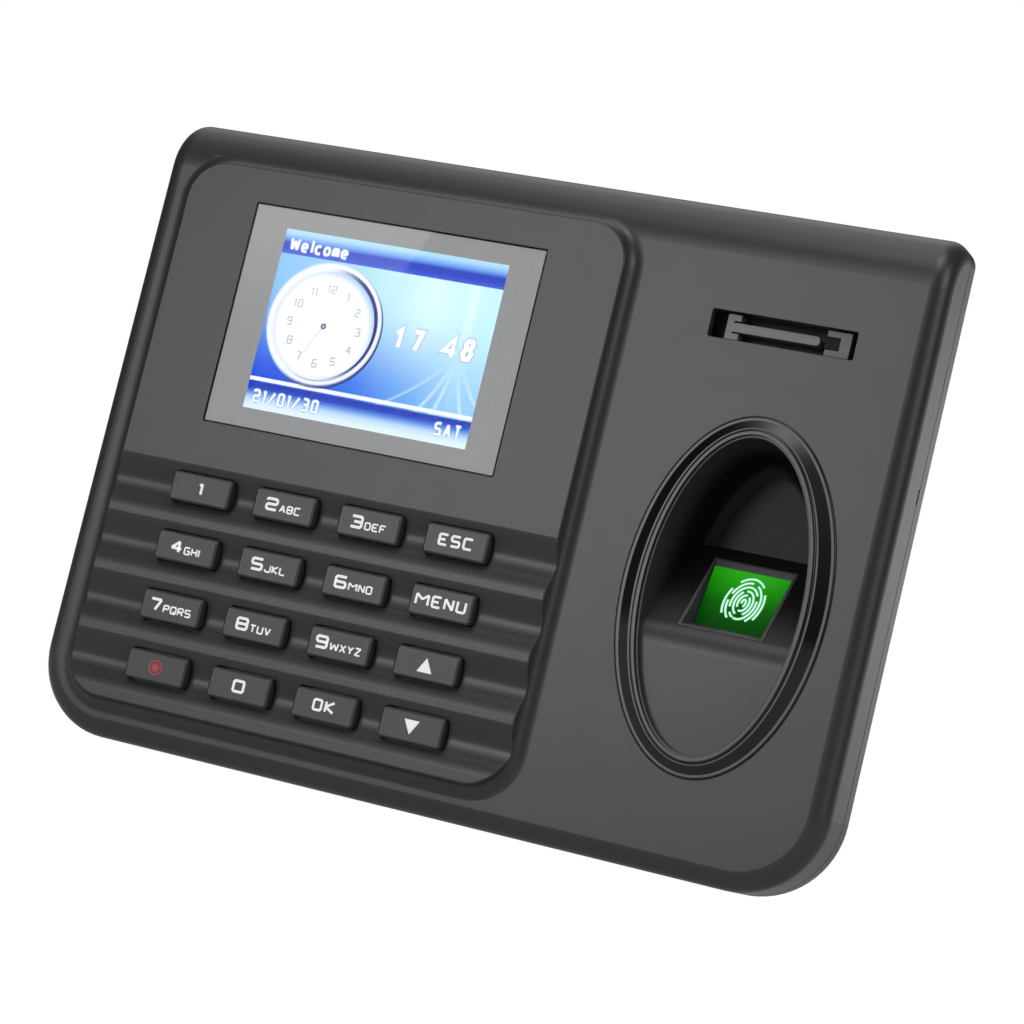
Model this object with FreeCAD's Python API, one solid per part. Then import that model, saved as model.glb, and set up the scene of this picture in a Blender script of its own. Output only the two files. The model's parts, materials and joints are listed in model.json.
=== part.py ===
import FreeCAD, Part
import math
import os

from FreeCAD import Vector

# Wall-mounted fingerprint scanner terminal, millimetres.
# X runs to the right seen from the front, Y runs into the wall, Z runs up.
# The origin is the centre of the flat rear face, which lies on the wall plane Y = 0.

# Case
CASE_W = 166.6
CASE_H = 128.3
DEPTH = 34.0                                # wall plane to the face of the raised panel
PANEL_STEP = 3.0                            # raised panel above the base face
Y_PANEL = -DEPTH
Y_BASE = Y_PANEL + PANEL_STEP
COVER_DEPTH = 12.1                          # base face to the parting line
Y_PARTING = Y_BASE + COVER_DEPTH
RIM_DEPTH = 3.6                             # full-width rim of the rear cover
Y_RIM = Y_PARTING + RIM_DEPTH
WALL = 2.4
EDGE_R = 3.7                                # rounding of the side and bottom edges and the top corners
TOP_R = 11.0                                # soft rounding along the top edge
CORNERS = (16.0, 17.0, EDGE_R, EDGE_R)      # bottom-left, bottom-right, top-right, top-left
CORNER_MIN = 0.6
PART_LINE = 0.3
TUB_INSET_FRONT = 2.5
TUB_INSET_REAR = 5.0
LIP = 1.2
LIP_DEPTH = 2.0
GAP = 0.1

# Raised panel with the screen and the keypad
PANEL_X0 = -75.2
PANEL_X1 = 20.9
PANEL_Z0 = -56.35
PANEL_Z1 = 54.5
PANEL_CORNER = 8.0
FOOT_R = 2.95
PANEL_EDGE = 0.3
POCKET_INSET = 3.0
Y_PANEL_INNER = Y_BASE                      # inner face of the raised panel

# Display
SCREEN_X = -27.1
SCREEN_Z = 24.65
WINDOW_W = 63.5
WINDOW_H = 45.1
WINDOW_T = 1.2
WINDOW_GAP = 0.25
TAPE_T = 0.15
VIEW_W = 53.0
VIEW_H = 40.6
LCD_W = 60.3
LCD_H = 42.7
LCD_GLASS_T = 1.3
LCD_LIGHT_T = 1.8
LCD_FRAME_WALL = 0.8
LCD_BACK_T = 0.4
Y_LCD = Y_PANEL_INNER + 0.1

# Keypad
COLUMN_X = -55.22
COLUMN_PITCH = 18.72
ROW_Z = -11.96
ROW_PITCH = 12.1
VALLEY_SHIFT = -0.5                         # valley centre below the key centre
VALLEY_DEPTH = 1.45
RIDGE_R = 7.2
RIDGE_CLEAR = 0.03
KEY_W = 13.2
KEY_H = 5.9
KEY_CORNER = 0.7
KEY_CHAMFER = 0.35
KEY_PROUD = 1.0
KEY_GAP = 0.35
KEY_TRAVEL = 1.0
SKIRT = 0.75                                # skirt beyond the key on each side
SKIRT_T = 1.0
SKIRT_GAP = 0.05
DOME_H = 2.0
DOME_R = 3.0
DOME_TOP_R = 2.0
MAT_T = 0.9
KEY_NAMES = [
    ["key_1", "key_2", "key_3", "key_esc"],
    ["key_4", "key_5", "key_6", "key_menu"],
    ["key_7", "key_8", "key_9", "key_up"],
    ["key_power", "key_0", "key_ok", "key_down"],
]

# Main board
Y_SKIRT = Y_PANEL_INNER + SKIRT_GAP
Y_DOME = Y_SKIRT + SKIRT_T + KEY_TRAVEL + SKIRT_GAP
Y_MAT = Y_DOME + DOME_H
Y_BOARD = Y_MAT + MAT_T
BOARD_T = 1.6
Y_BOARD_BACK = Y_BOARD + BOARD_T
BOARD_X0 = -79.0
BOARD_X1 = 25.0
BOARD_Z0 = -52.0
BOARD_Z1 = 52.0

# Finger well
OVAL_X = 54.6
OVAL_Z = -11.35
BEZEL_A = 20.4
BEZEL_B = 34.6
LIP_A = 15.8
LIP_B = 30.8
COLLAR_A = 17.2
COLLAR_B = 32.2
CUP_A = 15.3
CUP_B = 30.3
CUP_DRAFT = 1.5
CUP_WALL = 1.8
Y_CUP_RIM = -32.25
Y_CUP_BACK = -13.5
CUP_BACK_R = 3.0
FLANGE_A = 21.5
FLANGE_B = 36.0
FLANGE_T = 1.6
SEAT_DEPTH = 0.4
SLOPE_ANGLE = 41.4                          # finger rest, measured from vertical
SLOPE_Y = -22.25                            # middle of the sensor opening
SLOPE_Z = -10.4
REST_Y = -30.7                              # lower, front-facing part of the finger rest
REST_TILT = 0.1
REST_BLEND_R = 7.0

# Sensor module, in slope coordinates: Y is the depth below the slope, Z runs up the slope
SENSOR_W = 17.0
SENSOR_H = 20.0
SENSOR_DEPTH = 13.0
POCKET_W = 15.8
GLASS_W = 16.3
GLASS_T = 1.0
GLASS_LOW = (5.38, -3.46)
GLASS_HIGH = (0.64, 7.96)
GASKET_T = 0.8
FLANGE_Y = CUP_WALL + GASKET_T
BRACKET_Y = FLANGE_Y + 1.0
BRACKET_T = 0.8
BRACKET_W = 28.4
BRACKET_H = 24.4
SENSOR_SCREWS = [(-11.8, -7.0), (11.8, -7.0), (11.8, 7.0), (-11.8, 7.0)]

# Status indicator
SLOT_X0 = 39.4
SLOT_X1 = 68.4
SLOT_Z0 = 36.65
SLOT_Z1 = 42.15
SLOT_MID = (SLOT_Z0 + SLOT_Z1) / 2
Y_GUIDE = Y_BASE + 1.4
Y_GUIDE_BACK = Y_GUIDE + 3.4
Y_LAMP_BOARD = Y_GUIDE_BACK + 1.2
GUIDE_X0 = 42.3
GUIDE_BAR = 1.3
GUIDE_HALF = 2.45                           # half height of the guide's end bar and of the clip
GUIDE_SLIT = 0.3
PRONG_X1 = 45.0
TONGUE_X1 = 61.0
TONGUE_HALF = 0.9
CLIP_X0 = 62.2
CLIP_X1 = 67.0
CLIP_BAR = 2.1
CLIP_ARM = 1.2
LAMP_BOARD_EDGE = 3.4
LAMP_BOARD_T = 1.2
LAMP_X = (48.0, 56.0)

# Fastening
CASE_SCREWS = [(-72.0, -52.5), (71.5, -52.0), (73.5, 54.3), (-72.5, 53.2)]
CASE_BOSS_R = 3.2
BOSS_BITE = 0.4                             # how far a boss grows into its wall
CASE_SOCKET_R = 4.0
BOARD_SCREWS = [(-75.5, -44.0), (21.6, -44.0), (21.6, 47.0), (-75.5, 47.0)]
KEYHOLE_X = 50.0
KEYHOLE_Z = 26.0
KEYHOLE_ENTRY_R = 4.25
KEYHOLE_SLOT_R = 2.25
KEYHOLE_RISE = 9.0
JACK_X = 30.0
JACK_Y = -23.4
USB_Z = -20.0
CABLE_Z = 18.0
CABLE_W = 34.0
CABLE_H = 20.0
LABEL_X = 14.0
LABEL_Z = -38.0
LABEL_W = 60.0
LABEL_H = 26.0
JACK_BORE_R = 2.9
COIN = (-10.0, 33.0)
SPEAKER_X = -52.0
SPEAKER_Z = -34.0
BIG = 200.0
TOUCH = 0.001


# ---------------------------------------------------------------- helpers

def box(x0, x1, y0, y1, z0, z1):
    """Box between two opposite corners."""
    return Part.makeBox(x1 - x0, y1 - y0, z1 - z0, Vector(x0, y0, z0))


def rod(x, z, r, y0, y1):
    """Round rod along Y."""
    return Part.makeCylinder(r, y1 - y0, Vector(x, y0, z), Vector(0, 1, 0))


def outline_face(points, place):
    """Flat face over a closed outline of (u, v, corner radius); place(u, v) is the point."""
    count = len(points)
    edges = []
    ends = []
    for i, (u, v, radius) in enumerate(points):
        here = place(u, v)
        before = place(*points[i - 1][:2])
        after = place(*points[(i + 1) % count][:2])
        back = (before - here).normalize()
        ahead = (after - here).normalize()
        half = back.getAngle(ahead) / 2
        reach = radius / math.tan(half)
        start = here + back * reach
        stop = here + ahead * reach
        if radius > 0:
            middle = here + (back + ahead).normalize() * (radius / math.sin(half) - radius)
            edges.append(Part.Arc(start, middle, stop).toShape())
        ends.append((start, stop))
    for i in range(count):
        start = ends[i][1]
        stop = ends[(i + 1) % count][0]
        if start.distanceToPoint(stop) > TOUCH / 1000:
            edges.append(Part.makeLine(start, stop))
    return Part.Face(Part.Wire(Part.__sortEdges__(edges)))


def plate(x0, x1, z0, z1, y0, y1, corners):
    """Plate along Y with rounded corners: one radius, or one for each corner."""
    if not isinstance(corners, tuple):
        corners = (corners,) * 4
    ends = [(x0, z0), (x1, z0), (x1, z1), (x0, z1)]
    points = [(u, v, r) for (u, v), r in zip(ends, corners)]
    face = outline_face(points, lambda u, v: Vector(u, y0, v))
    return face.extrude(Vector(0, y1 - y0, 0))


def centred_plate(x, z, w, h, y0, y1, corner):
    """Plate along Y around a centre."""
    return plate(x - w / 2, x + w / 2, z - h / 2, z + h / 2, y0, y1, corner)


def side_prism(points, x0, x1):
    """Prism along X over an outline of (y, z, corner radius)."""
    face = outline_face(points, lambda y, z: Vector(x0, y, z))
    return face.extrude(Vector(x1 - x0, 0, 0))


def oval_wire(a, b, y):
    """Upright ellipse around the finger well's axis."""
    centre = Vector(OVAL_X, y, OVAL_Z)
    curve = Part.Ellipse(centre + Vector(0, 0, b), centre + Vector(a, 0, 0), centre)
    return Part.Wire([curve.toShape()])


def oval(a, b, y0, y1):
    """Straight elliptical plug."""
    return Part.Face(oval_wire(a, b, y0)).extrude(Vector(0, y1 - y0, 0))


def oval_taper(a0, b0, y0, a1, b1, y1):
    """Tapering elliptical plug."""
    return Part.makeLoft([oval_wire(a0, b0, y0), oval_wire(a1, b1, y1)], True, True)


def flat_edges(shape, y):
    """Edges that lie in the plane at y."""
    return [e for e in shape.Edges if all(abs(v.Y - y) < TOUCH for v in e.Vertexes)]


def edges_within(shape, x, y, z):
    """Edges inside a box given as a low and a high limit along each axis."""
    found = []
    for edge in shape.Edges:
        b = edge.BoundBox
        spans = ((b.XMin, b.XMax, x), (b.YMin, b.YMax, y), (b.ZMin, b.ZMax, z))
        if all(low > limit[0] - TOUCH and high < limit[1] + TOUCH for low, high, limit in spans):
            found.append(edge)
    return found


def screw(x, z, y_head, reach, shank_r, head_r, head_t, way):
    """Cross-recess screw along Y; way is the direction from head to tip."""
    head = rod(x, z, head_r, min(y_head, y_head - way * head_t), max(y_head, y_head - way * head_t))
    tip = y_head + way * reach
    shank = rod(x, z, shank_r, min(y_head, tip), max(y_head, tip))
    outer = y_head - way * head_t
    depth = outer + way * head_t * 0.6
    y0, y1 = min(outer, depth), max(outer, depth)
    arm = head_r * 0.6
    web = head_r * 0.15
    cross = box(x - arm, x + arm, y0, y1, z - web, z + web)
    cross = cross.fuse(box(x - web, x + web, y0, y1, z - arm, z + arm))
    return head.fuse(shank).cut(cross)


def join(shapes):
    """One solid from touching shapes."""
    whole = shapes[0].multiFuse(shapes[1:])
    return whole.removeSplitter()


def group(shapes):
    """Several separate solids in one node."""
    return Part.makeCompound(shapes)


def cable(points, r):
    """Round cable along straight runs with ball corners."""
    pieces = []
    for start, stop in zip(points, points[1:]):
        a = Vector(*start)
        b = Vector(*stop)
        pieces.append(Part.makeCylinder(r, (b - a).Length, a, b - a))
    for corner in points[1:-1]:
        pieces.append(Part.makeSphere(r, Vector(*corner)))
    return pieces[0].multiFuse(pieces[1:])


# ---------------------------------------------------------------- case

def inner_corners(inset):
    """Outline corner radii moved inward by inset."""
    return tuple(max(r - inset, CORNER_MIN) for r in CORNERS)


def case_volume(inset, y_front, y_rear):
    """Case moved inward by inset: round top, then one rounding along sides, bottom and top corners."""
    top = CASE_H / 2 - inset
    side = CASE_W / 2 - inset
    top_r = TOP_R - inset
    profile = [(y_front, -top, 0), (y_front, top, top_r), (y_rear, top, 0), (y_rear, -top, 0)]
    body = side_prism(profile, -side, side)
    for x, radius in ((-side, CORNERS[0] - inset), (side, CORNERS[1] - inset)):
        body = body.makeFillet(radius, edges_within(body, (x, x), (y_front, y_rear), (-top, -top)))
    rim = [edge for edge in flat_edges(body, y_front) if edge.BoundBox.ZMin < 0]
    for x in (-side, side):
        rim += edges_within(body, (x, x), (y_front, y_rear), (top - top_r, top))
    return body.makeFillet(EDGE_R - inset, rim)


def rib_cutter():
    """Volume above the wavy keypad area: four valleys between rounded ridges."""
    half = ROW_PITCH / 2
    depth = VALLEY_DEPTH + RIDGE_CLEAR
    slope = 2 * math.atan(depth / half)
    valley_r = half / math.sin(slope) - RIDGE_R
    y_ridge = Y_PANEL - RIDGE_CLEAR
    x0 = PANEL_X0 - FOOT_R - 1
    rise = RIDGE_R * (1 - math.cos(slope))
    run = RIDGE_R * math.sin(slope)
    bend = (RIDGE_R * (1 - math.cos(slope / 2)), RIDGE_R * math.sin(slope / 2))
    z_top = ROW_Z + VALLEY_SHIFT + half
    z_bottom = z_top - 4 * ROW_PITCH
    edges = []
    for row in range(4):
        z_high = z_top - row * ROW_PITCH
        z_low = z_high - ROW_PITCH
        valley = Vector(x0, y_ridge + depth, z_high - half)
        upper = Vector(x0, y_ridge + rise, z_high - run)
        lower = Vector(x0, y_ridge + rise, z_low + run)
        upper_bend = Vector(x0, y_ridge + bend[0], z_high - bend[1])
        lower_bend = Vector(x0, y_ridge + bend[0], z_low + bend[1])
        edges.append(Part.Arc(Vector(x0, y_ridge, z_high), upper_bend, upper).toShape())
        edges.append(Part.Arc(upper, valley, lower).toShape())
        edges.append(Part.Arc(lower, lower_bend, Vector(x0, y_ridge, z_low)).toShape())
    y_clear = y_ridge - 2
    edges.append(Part.makeLine(Vector(x0, y_ridge, z_bottom), Vector(x0, y_clear, z_bottom)))
    edges.append(Part.makeLine(Vector(x0, y_clear, z_bottom), Vector(x0, y_clear, z_top)))
    edges.append(Part.makeLine(Vector(x0, y_clear, z_top), Vector(x0, y_ridge, z_top)))
    face = Part.Face(Part.Wire(Part.__sortEdges__(edges)))
    return face.extrude(Vector(PANEL_X1 - x0 + FOOT_R + 1, 0, 0))


def panel_outline(inset, y0, y1):
    """Raised panel's outline as a plate."""
    x0, x1 = PANEL_X0 + inset, PANEL_X1 - inset
    z0, z1 = PANEL_Z0 + inset, PANEL_Z1 - inset
    return plate(x0, x1, z0, z1, y0, y1, PANEL_CORNER - inset)


def cover_skin():
    """Outer form of the front cover: base face, raised panel, concave foot, ribs."""
    base = case_volume(0, Y_BASE, Y_PARTING)
    raised = panel_outline(0, Y_PANEL, Y_BASE + WALL)
    skin = base.fuse(raised).removeSplitter()
    foot = edges_within(skin, (PANEL_X0, PANEL_X1), (Y_PANEL + 1, Y_BASE + 1), (PANEL_Z0, PANEL_Z1))
    skin = skin.makeFillet(FOOT_R, foot)
    rim = flat_edges(skin, Y_PANEL)
    skin = skin.makeFillet(PANEL_EDGE, rim)
    return skin.cut(rib_cutter())


def key_places():
    """Name and centre of each key."""
    places = []
    for row, names in enumerate(KEY_NAMES):
        for column, name in enumerate(names):
            x = COLUMN_X + column * COLUMN_PITCH
            places.append((name, x, ROW_Z - row * ROW_PITCH))
    return places


def front_cover():
    """Front half of the case with all of its openings and bosses."""
    cover = cover_skin()
    cover = cover.cut(case_volume(WALL, Y_BASE + WALL, Y_PARTING + 1))
    cover = cover.cut(panel_outline(POCKET_INSET, Y_PANEL_INNER, Y_BASE + WALL + 1))
    cuts = []
    y_out = Y_PANEL - 3
    for name, x, z in key_places():
        w = KEY_W + 2 * KEY_GAP
        h = KEY_H + 2 * KEY_GAP
        cuts.append(centred_plate(x, z, w, h, y_out, Y_PANEL_INNER + 1, KEY_CORNER + KEY_GAP))
    w = WINDOW_W + 2 * WINDOW_GAP
    h = WINDOW_H + 2 * WINDOW_GAP
    y_ledge = Y_PANEL + WINDOW_T + TAPE_T
    cuts.append(centred_plate(SCREEN_X, SCREEN_Z, w, h, y_out, y_ledge, 0.4))
    cuts.append(centred_plate(SCREEN_X, SCREEN_Z, VIEW_W, VIEW_H, y_out, Y_PANEL_INNER + 1, 0.5))
    cuts.append(plate(SLOT_X0, SLOT_X1, SLOT_Z0, SLOT_Z1, y_out, Y_BASE + WALL + 1, 0.5))
    cuts.append(oval(COLLAR_A + 0.3, COLLAR_B + 0.3, y_out, Y_BASE + WALL + 1))
    cuts.append(oval(BEZEL_A + 0.06, BEZEL_B + 0.06, y_out, Y_BASE + SEAT_DEPTH))
    cuts.append(parting_groove())
    cuts.append(box(CASE_W / 2 - 0.9, CASE_W, Y_PARTING - 0.9, Y_PARTING, 13.8, 16.8))
    cuts.append(usb_opening())
    cuts.append(Part.makeCylinder(4.1, 8, Vector(JACK_X, JACK_Y, -CASE_H / 2 - 1)))
    cover = cover.cut(Part.makeCompound(cuts))
    bosses = []
    holes = []
    for x, z in CASE_SCREWS:
        y_root = Y_BASE + BOSS_BITE if x < PANEL_X1 else Y_BASE + WALL - BOSS_BITE
        bosses.append(rod(x, z, CASE_BOSS_R, y_root, Y_PARTING + 2))
        holes.append(rod(x, z, 1.5, Y_PARTING - 7, Y_PARTING + 3))
    for x, z in BOARD_SCREWS:
        bosses.append(rod(x, z, 2.6, Y_BASE + WALL - BOSS_BITE, Y_BOARD))
        holes.append(rod(x, z, 1.0, Y_BASE + WALL - 0.3, Y_BOARD + 1))
    for x, z in flange_screw_places():
        holes.append(rod(x, z, 1.0, Y_BASE + WALL - 1.4, Y_BASE + WALL + 1))
    for x in (SLOT_X0 - 2.2, SLOT_X1 + 1.4):
        bosses.append(rod(x, SLOT_MID, 1.4, Y_BASE + WALL - BOSS_BITE, Y_LAMP_BOARD))
    cover = cover.multiFuse(bosses)
    return cover.cut(Part.makeCompound(holes))


def parting_groove():
    """Fine shadow line around the case at the parting plane."""
    depth = 0.7
    side = CASE_W / 2
    top = CASE_H / 2
    outer = plate(-side - 1, side + 1, -top - 1, top + 1, Y_PARTING - PART_LINE, Y_PARTING, 1.0)
    corners = inner_corners(depth)
    y0 = Y_PARTING - PART_LINE - 1
    inner = plate(depth - side, side - depth, depth - top, top - depth, y0, Y_PARTING + 1, corners)
    return outer.cut(inner)


def usb_opening():
    """Opening in the left wall for the data port."""
    return box(-CASE_W, -CASE_W / 2 + 4, Y_BOARD_BACK - 0.3, Y_PARTING, USB_Z - 6.9, USB_Z + 6.9)


def tub(inset, y0, y1):
    """Tapering rear part of the case, moved inward by inset."""
    wires = []
    for y in (y0, y1):
        share = (y - Y_RIM) / -Y_RIM
        step = TUB_INSET_FRONT + share * (TUB_INSET_REAR - TUB_INSET_FRONT) + inset
        side = CASE_W / 2 - step
        top = CASE_H / 2 - step
        corner = tuple(max(r - step, 1.5) for r in CORNERS)
        sheet = plate(-side, side, -top, top, y, y + 1, corner)
        wires.append(Part.Wire(Part.__sortEdges__(flat_edges(sheet, y))))
    return Part.makeLoft(wires, True, True)


def keyhole(x, z):
    """Round entry with a narrow slot above it."""
    y0 = -WALL - 1
    entry = rod(x, z, KEYHOLE_ENTRY_R, y0, 1)
    slot = rod(x, z + KEYHOLE_RISE, KEYHOLE_SLOT_R, y0, 1)
    neck = box(x - KEYHOLE_SLOT_R, x + KEYHOLE_SLOT_R, y0, 1, z, z + KEYHOLE_RISE)
    return entry.fuse(slot).fuse(neck)


def rear_cover():
    """Rear half of the case: rim, lip, tapered tub, bosses and openings."""
    side = CASE_W / 2
    top = CASE_H / 2
    rim = plate(-side, side, -top, top, Y_PARTING, Y_RIM, CORNERS)
    inset = WALL + GAP
    corners = inner_corners(inset)
    lip = plate(inset - side, side - inset, inset - top, top - inset, Y_PARTING - LIP_DEPTH,
                Y_RIM, corners)
    cover = rim.fuse(lip).fuse(tub(0, Y_RIM, 0))
    inset = WALL + GAP + LIP
    corners = inner_corners(inset)
    hollow = plate(inset - side, side - inset, inset - top, top - inset,
                   Y_PARTING - LIP_DEPTH - 1, Y_RIM - WALL, corners)
    cover = cover.cut(hollow).cut(tub(WALL, Y_RIM - WALL - 0.5, -WALL))
    bosses = []
    cuts = [box(-CASE_W, 1 - side + WALL + LIP, Y_PARTING - LIP_DEPTH - 1, Y_PARTING,
                USB_Z - 7.5, USB_Z + 7.5)]
    cuts.append(box(JACK_X - 6, JACK_X + 6, Y_PARTING - LIP_DEPTH - 1, Y_PARTING,
                    -CASE_H, WALL + LIP + 1 - top))
    for x, z in CASE_SCREWS:
        bosses.append(rod(x, z, CASE_SOCKET_R, Y_PARTING + 2, -0.5))
        cuts.append(rod(x, z, 1.7, Y_PARTING, 1))
        cuts.append(rod(x, z, 3.2, -9.0, 1))
    for way in (-1, 1):
        cuts.append(keyhole(way * KEYHOLE_X, KEYHOLE_Z))
    cuts.append(centred_plate(0, CABLE_Z, CABLE_W, CABLE_H, -WALL - 1, 1, 3.0))
    cuts.append(centred_plate(LABEL_X, LABEL_Z, LABEL_W + 0.4, LABEL_H + 0.4, -0.3, 1, 1.2))
    for step in range(-3, 4):
        reach = math.sqrt(9.0 ** 2 - (2.4 * step) ** 2)
        z = SPEAKER_Z + 2.4 * step
        cuts.append(plate(SPEAKER_X - reach, SPEAKER_X + reach, z - 0.6, z + 0.6,
                          -WALL - 1, 1, 0.55))
    cover = cover.multiFuse(bosses)
    return cover.cut(Part.makeCompound(cuts)).removeSplitter()


# ---------------------------------------------------------------- display

def display_window():
    """Clear cover lens that sits flush in the raised panel."""
    lens = centred_plate(SCREEN_X, SCREEN_Z, WINDOW_W, WINDOW_H, Y_PANEL, Y_PANEL + WINDOW_T, 0.3)
    return lens


def window_tape():
    """Adhesive frame behind the lens."""
    y0 = Y_PANEL + WINDOW_T
    tape = centred_plate(SCREEN_X, SCREEN_Z, WINDOW_W - 1, WINDOW_H - 1, y0, y0 + TAPE_T, 0.3)
    return tape.cut(centred_plate(SCREEN_X, SCREEN_Z, VIEW_W + 1, VIEW_H + 1, y0 - 1, y0 + 1, 0.3))


def lcd_slab(w_less, y0, t, corner=0.4):
    """One layer of the display module."""
    wide = LCD_W - w_less
    high = LCD_H - w_less
    return centred_plate(SCREEN_X, SCREEN_Z, wide, high, y0, y0 + t, corner)


def lcd_panel():
    """Liquid crystal glass."""
    return lcd_slab(2 * LCD_FRAME_WALL + 0.2, Y_LCD, LCD_GLASS_T)


def lcd_backlight():
    """Light guide behind the glass."""
    return lcd_slab(2 * LCD_FRAME_WALL + 0.2, Y_LCD + LCD_GLASS_T, LCD_LIGHT_T)


def lcd_frame():
    """Tray around the glass and the light guide."""
    depth = LCD_GLASS_T + LCD_LIGHT_T
    tray = lcd_slab(0, Y_LCD, depth + LCD_BACK_T)
    return tray.cut(lcd_slab(2 * LCD_FRAME_WALL, Y_LCD - 1, depth + 1))


def lcd_flex_cable():
    """Flat cable that leaves the tray, passes the board and folds up to its connector."""
    y_tray = Y_LCD + LCD_GLASS_T + LCD_LIGHT_T
    z_tray = SCREEN_Z - LCD_H / 2
    x0, x1 = SCREEN_X - 8, SCREEN_X + 8
    run = box(x0, x1, y_tray, y_tray + 0.2, z_tray - 2.6, z_tray)
    back = box(x0, x1, y_tray, Y_BOARD_BACK + 1.0, z_tray - 2.8, z_tray - 2.6)
    up = box(x0, x1, Y_BOARD_BACK + 0.8, Y_BOARD_BACK + 1.0, z_tray - 2.6, z_tray)
    return join([run, back, up])


def display_connector():
    """Flat cable connector on the rear of the board."""
    z0 = SCREEN_Z - LCD_H / 2
    shell = box(SCREEN_X - 10, SCREEN_X + 10, Y_BOARD_BACK, Y_BOARD_BACK + 2.0, z0, z0 + 5)
    slit = box(SCREEN_X - 8.1, SCREEN_X + 8.1, Y_BOARD_BACK + 0.7, Y_BOARD_BACK + 1.1, z0 - 1, z0 + 3)
    return shell.cut(slit)


# ---------------------------------------------------------------- keypad

def key(x, z):
    """Hard key cap with a bevelled face and a retaining skirt."""
    top = Y_PANEL - KEY_PROUD
    cap = centred_plate(x, z, KEY_W, KEY_H, top, Y_SKIRT + SKIRT_T, KEY_CORNER)
    cap = cap.makeChamfer(KEY_CHAMFER, flat_edges(cap, top))
    skirt = centred_plate(x, z, KEY_W + 2 * SKIRT, KEY_H + 2 * SKIRT, Y_SKIRT,
                          Y_SKIRT + SKIRT_T, KEY_CORNER + SKIRT)
    return cap.fuse(skirt).removeSplitter()


def keypad_mat():
    """Silicone sheet with one hollow dome under each key."""
    x0 = COLUMN_X - 9
    x1 = COLUMN_X + 3 * COLUMN_PITCH + 9
    mat = plate(x0, x1, BOARD_Z0 + 0.5, ROW_Z + 6, Y_MAT, Y_BOARD, 2.0)
    domes = []
    hollows = []
    for name, x, z in key_places():
        foot = Vector(x, Y_MAT + 0.1, z)
        domes.append(Part.makeCone(DOME_R, DOME_TOP_R, DOME_H + 0.1, foot, Vector(0, -1, 0)))
        hollows.append(rod(x, z, DOME_TOP_R - 0.4, Y_MAT - DOME_H / 2, Y_BOARD + 1))
    return mat.multiFuse(domes).cut(Part.makeCompound(hollows))


# ---------------------------------------------------------------- main board

def main_board():
    """Circuit board behind the display and the keypad."""
    board = plate(BOARD_X0, BOARD_X1, BOARD_Z0, BOARD_Z1, Y_BOARD, Y_BOARD_BACK, 3.0)
    cuts = [rod(x, z, 1.3, Y_BOARD - 1, Y_BOARD_BACK + 1) for x, z in BOARD_SCREWS]
    for x, z in CASE_SCREWS:
        cuts.append(rod(x, z, CASE_BOSS_R + 1, Y_BOARD - 1, Y_BOARD_BACK + 1))
    z_tray = SCREEN_Z - LCD_H / 2
    cuts.append(box(SCREEN_X - 9, SCREEN_X + 9, Y_BOARD - 1, Y_BOARD_BACK + 1,
                    z_tray - 3.4, z_tray - 1.8))
    return board.cut(Part.makeCompound(cuts))


def chip(x, z, w, h, t):
    """Packaged chip on the rear of the board, with rows of leads on both sides."""
    body = box(x - w / 2, x + w / 2, Y_BOARD_BACK + 0.1, Y_BOARD_BACK + t, z - h / 2, z + h / 2)
    pieces = [body]
    pitch = 1.27
    count = int((h - 1) / pitch)
    z0 = z - (count - 1) * pitch / 2
    for i in range(count):
        z_lead = z0 + i * pitch
        reach = w / 2 + 1.0
        pieces.append(box(x - reach, x + reach, Y_BOARD_BACK, Y_BOARD_BACK + 0.4,
                          z_lead - 0.2, z_lead + 0.2))
    return body.multiFuse(pieces[1:])


def capacitors():
    """Row of upright electrolytic capacitors."""
    cans = []
    for i in range(3):
        can = rod(-60 + 9 * i, 40, 3.15, Y_BOARD_BACK, Y_BOARD_BACK + 7.7)
        can = can.makeFillet(0.5, flat_edges(can, Y_BOARD_BACK + 7.7))
        cans.append(can)
    return group(cans)


def coin_cell_holder():
    """Open ring holder for the clock's coin cell."""
    x, z = COIN
    ring = rod(x, z, 12.0, Y_BOARD_BACK, Y_BOARD_BACK + 5.0)
    ring = ring.cut(rod(x, z, 10.15, Y_BOARD_BACK + 1.2, Y_BOARD_BACK + 6))
    return ring.cut(box(x - 5, x + 5, Y_BOARD_BACK + 1.2, Y_BOARD_BACK + 6, z - 13, z))


def coin_cell():
    """Coin cell, 20 mm across and 3.2 mm thick."""
    x, z = COIN
    cell = rod(x, z, 10.0, Y_BOARD_BACK + 1.2, Y_BOARD_BACK + 4.4)
    return cell.makeFillet(0.4, flat_edges(cell, Y_BOARD_BACK + 4.4))


def sensor_connector():
    """White socket for the sensor cable, open at its right end."""
    shell = box(14, 22, Y_BOARD_BACK, Y_BOARD_BACK + 5, -15, -5)
    return shell.cut(box(16, 23, Y_BOARD_BACK + 1, Y_BOARD_BACK + 4, -14, -6))


def usb_port():
    """Data port shell with its tongue."""
    x0 = -CASE_W / 2 + WALL + 0.2
    y0 = Y_BOARD_BACK
    y1 = Y_PARTING - 0.2
    shell = box(x0, x0 + 14, y0, y1, USB_Z - 6.55, USB_Z + 6.55)
    shell = shell.cut(box(x0 - 1, x0 + 12, y0 + 0.4, y1 - 0.4, USB_Z - 6.15, USB_Z + 6.15))
    tongue = box(x0 + 1, x0 + 12.5, y0 + 0.9, y0 + 2.7, USB_Z - 5.6, USB_Z + 5.6)
    return shell.fuse(tongue)


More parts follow.
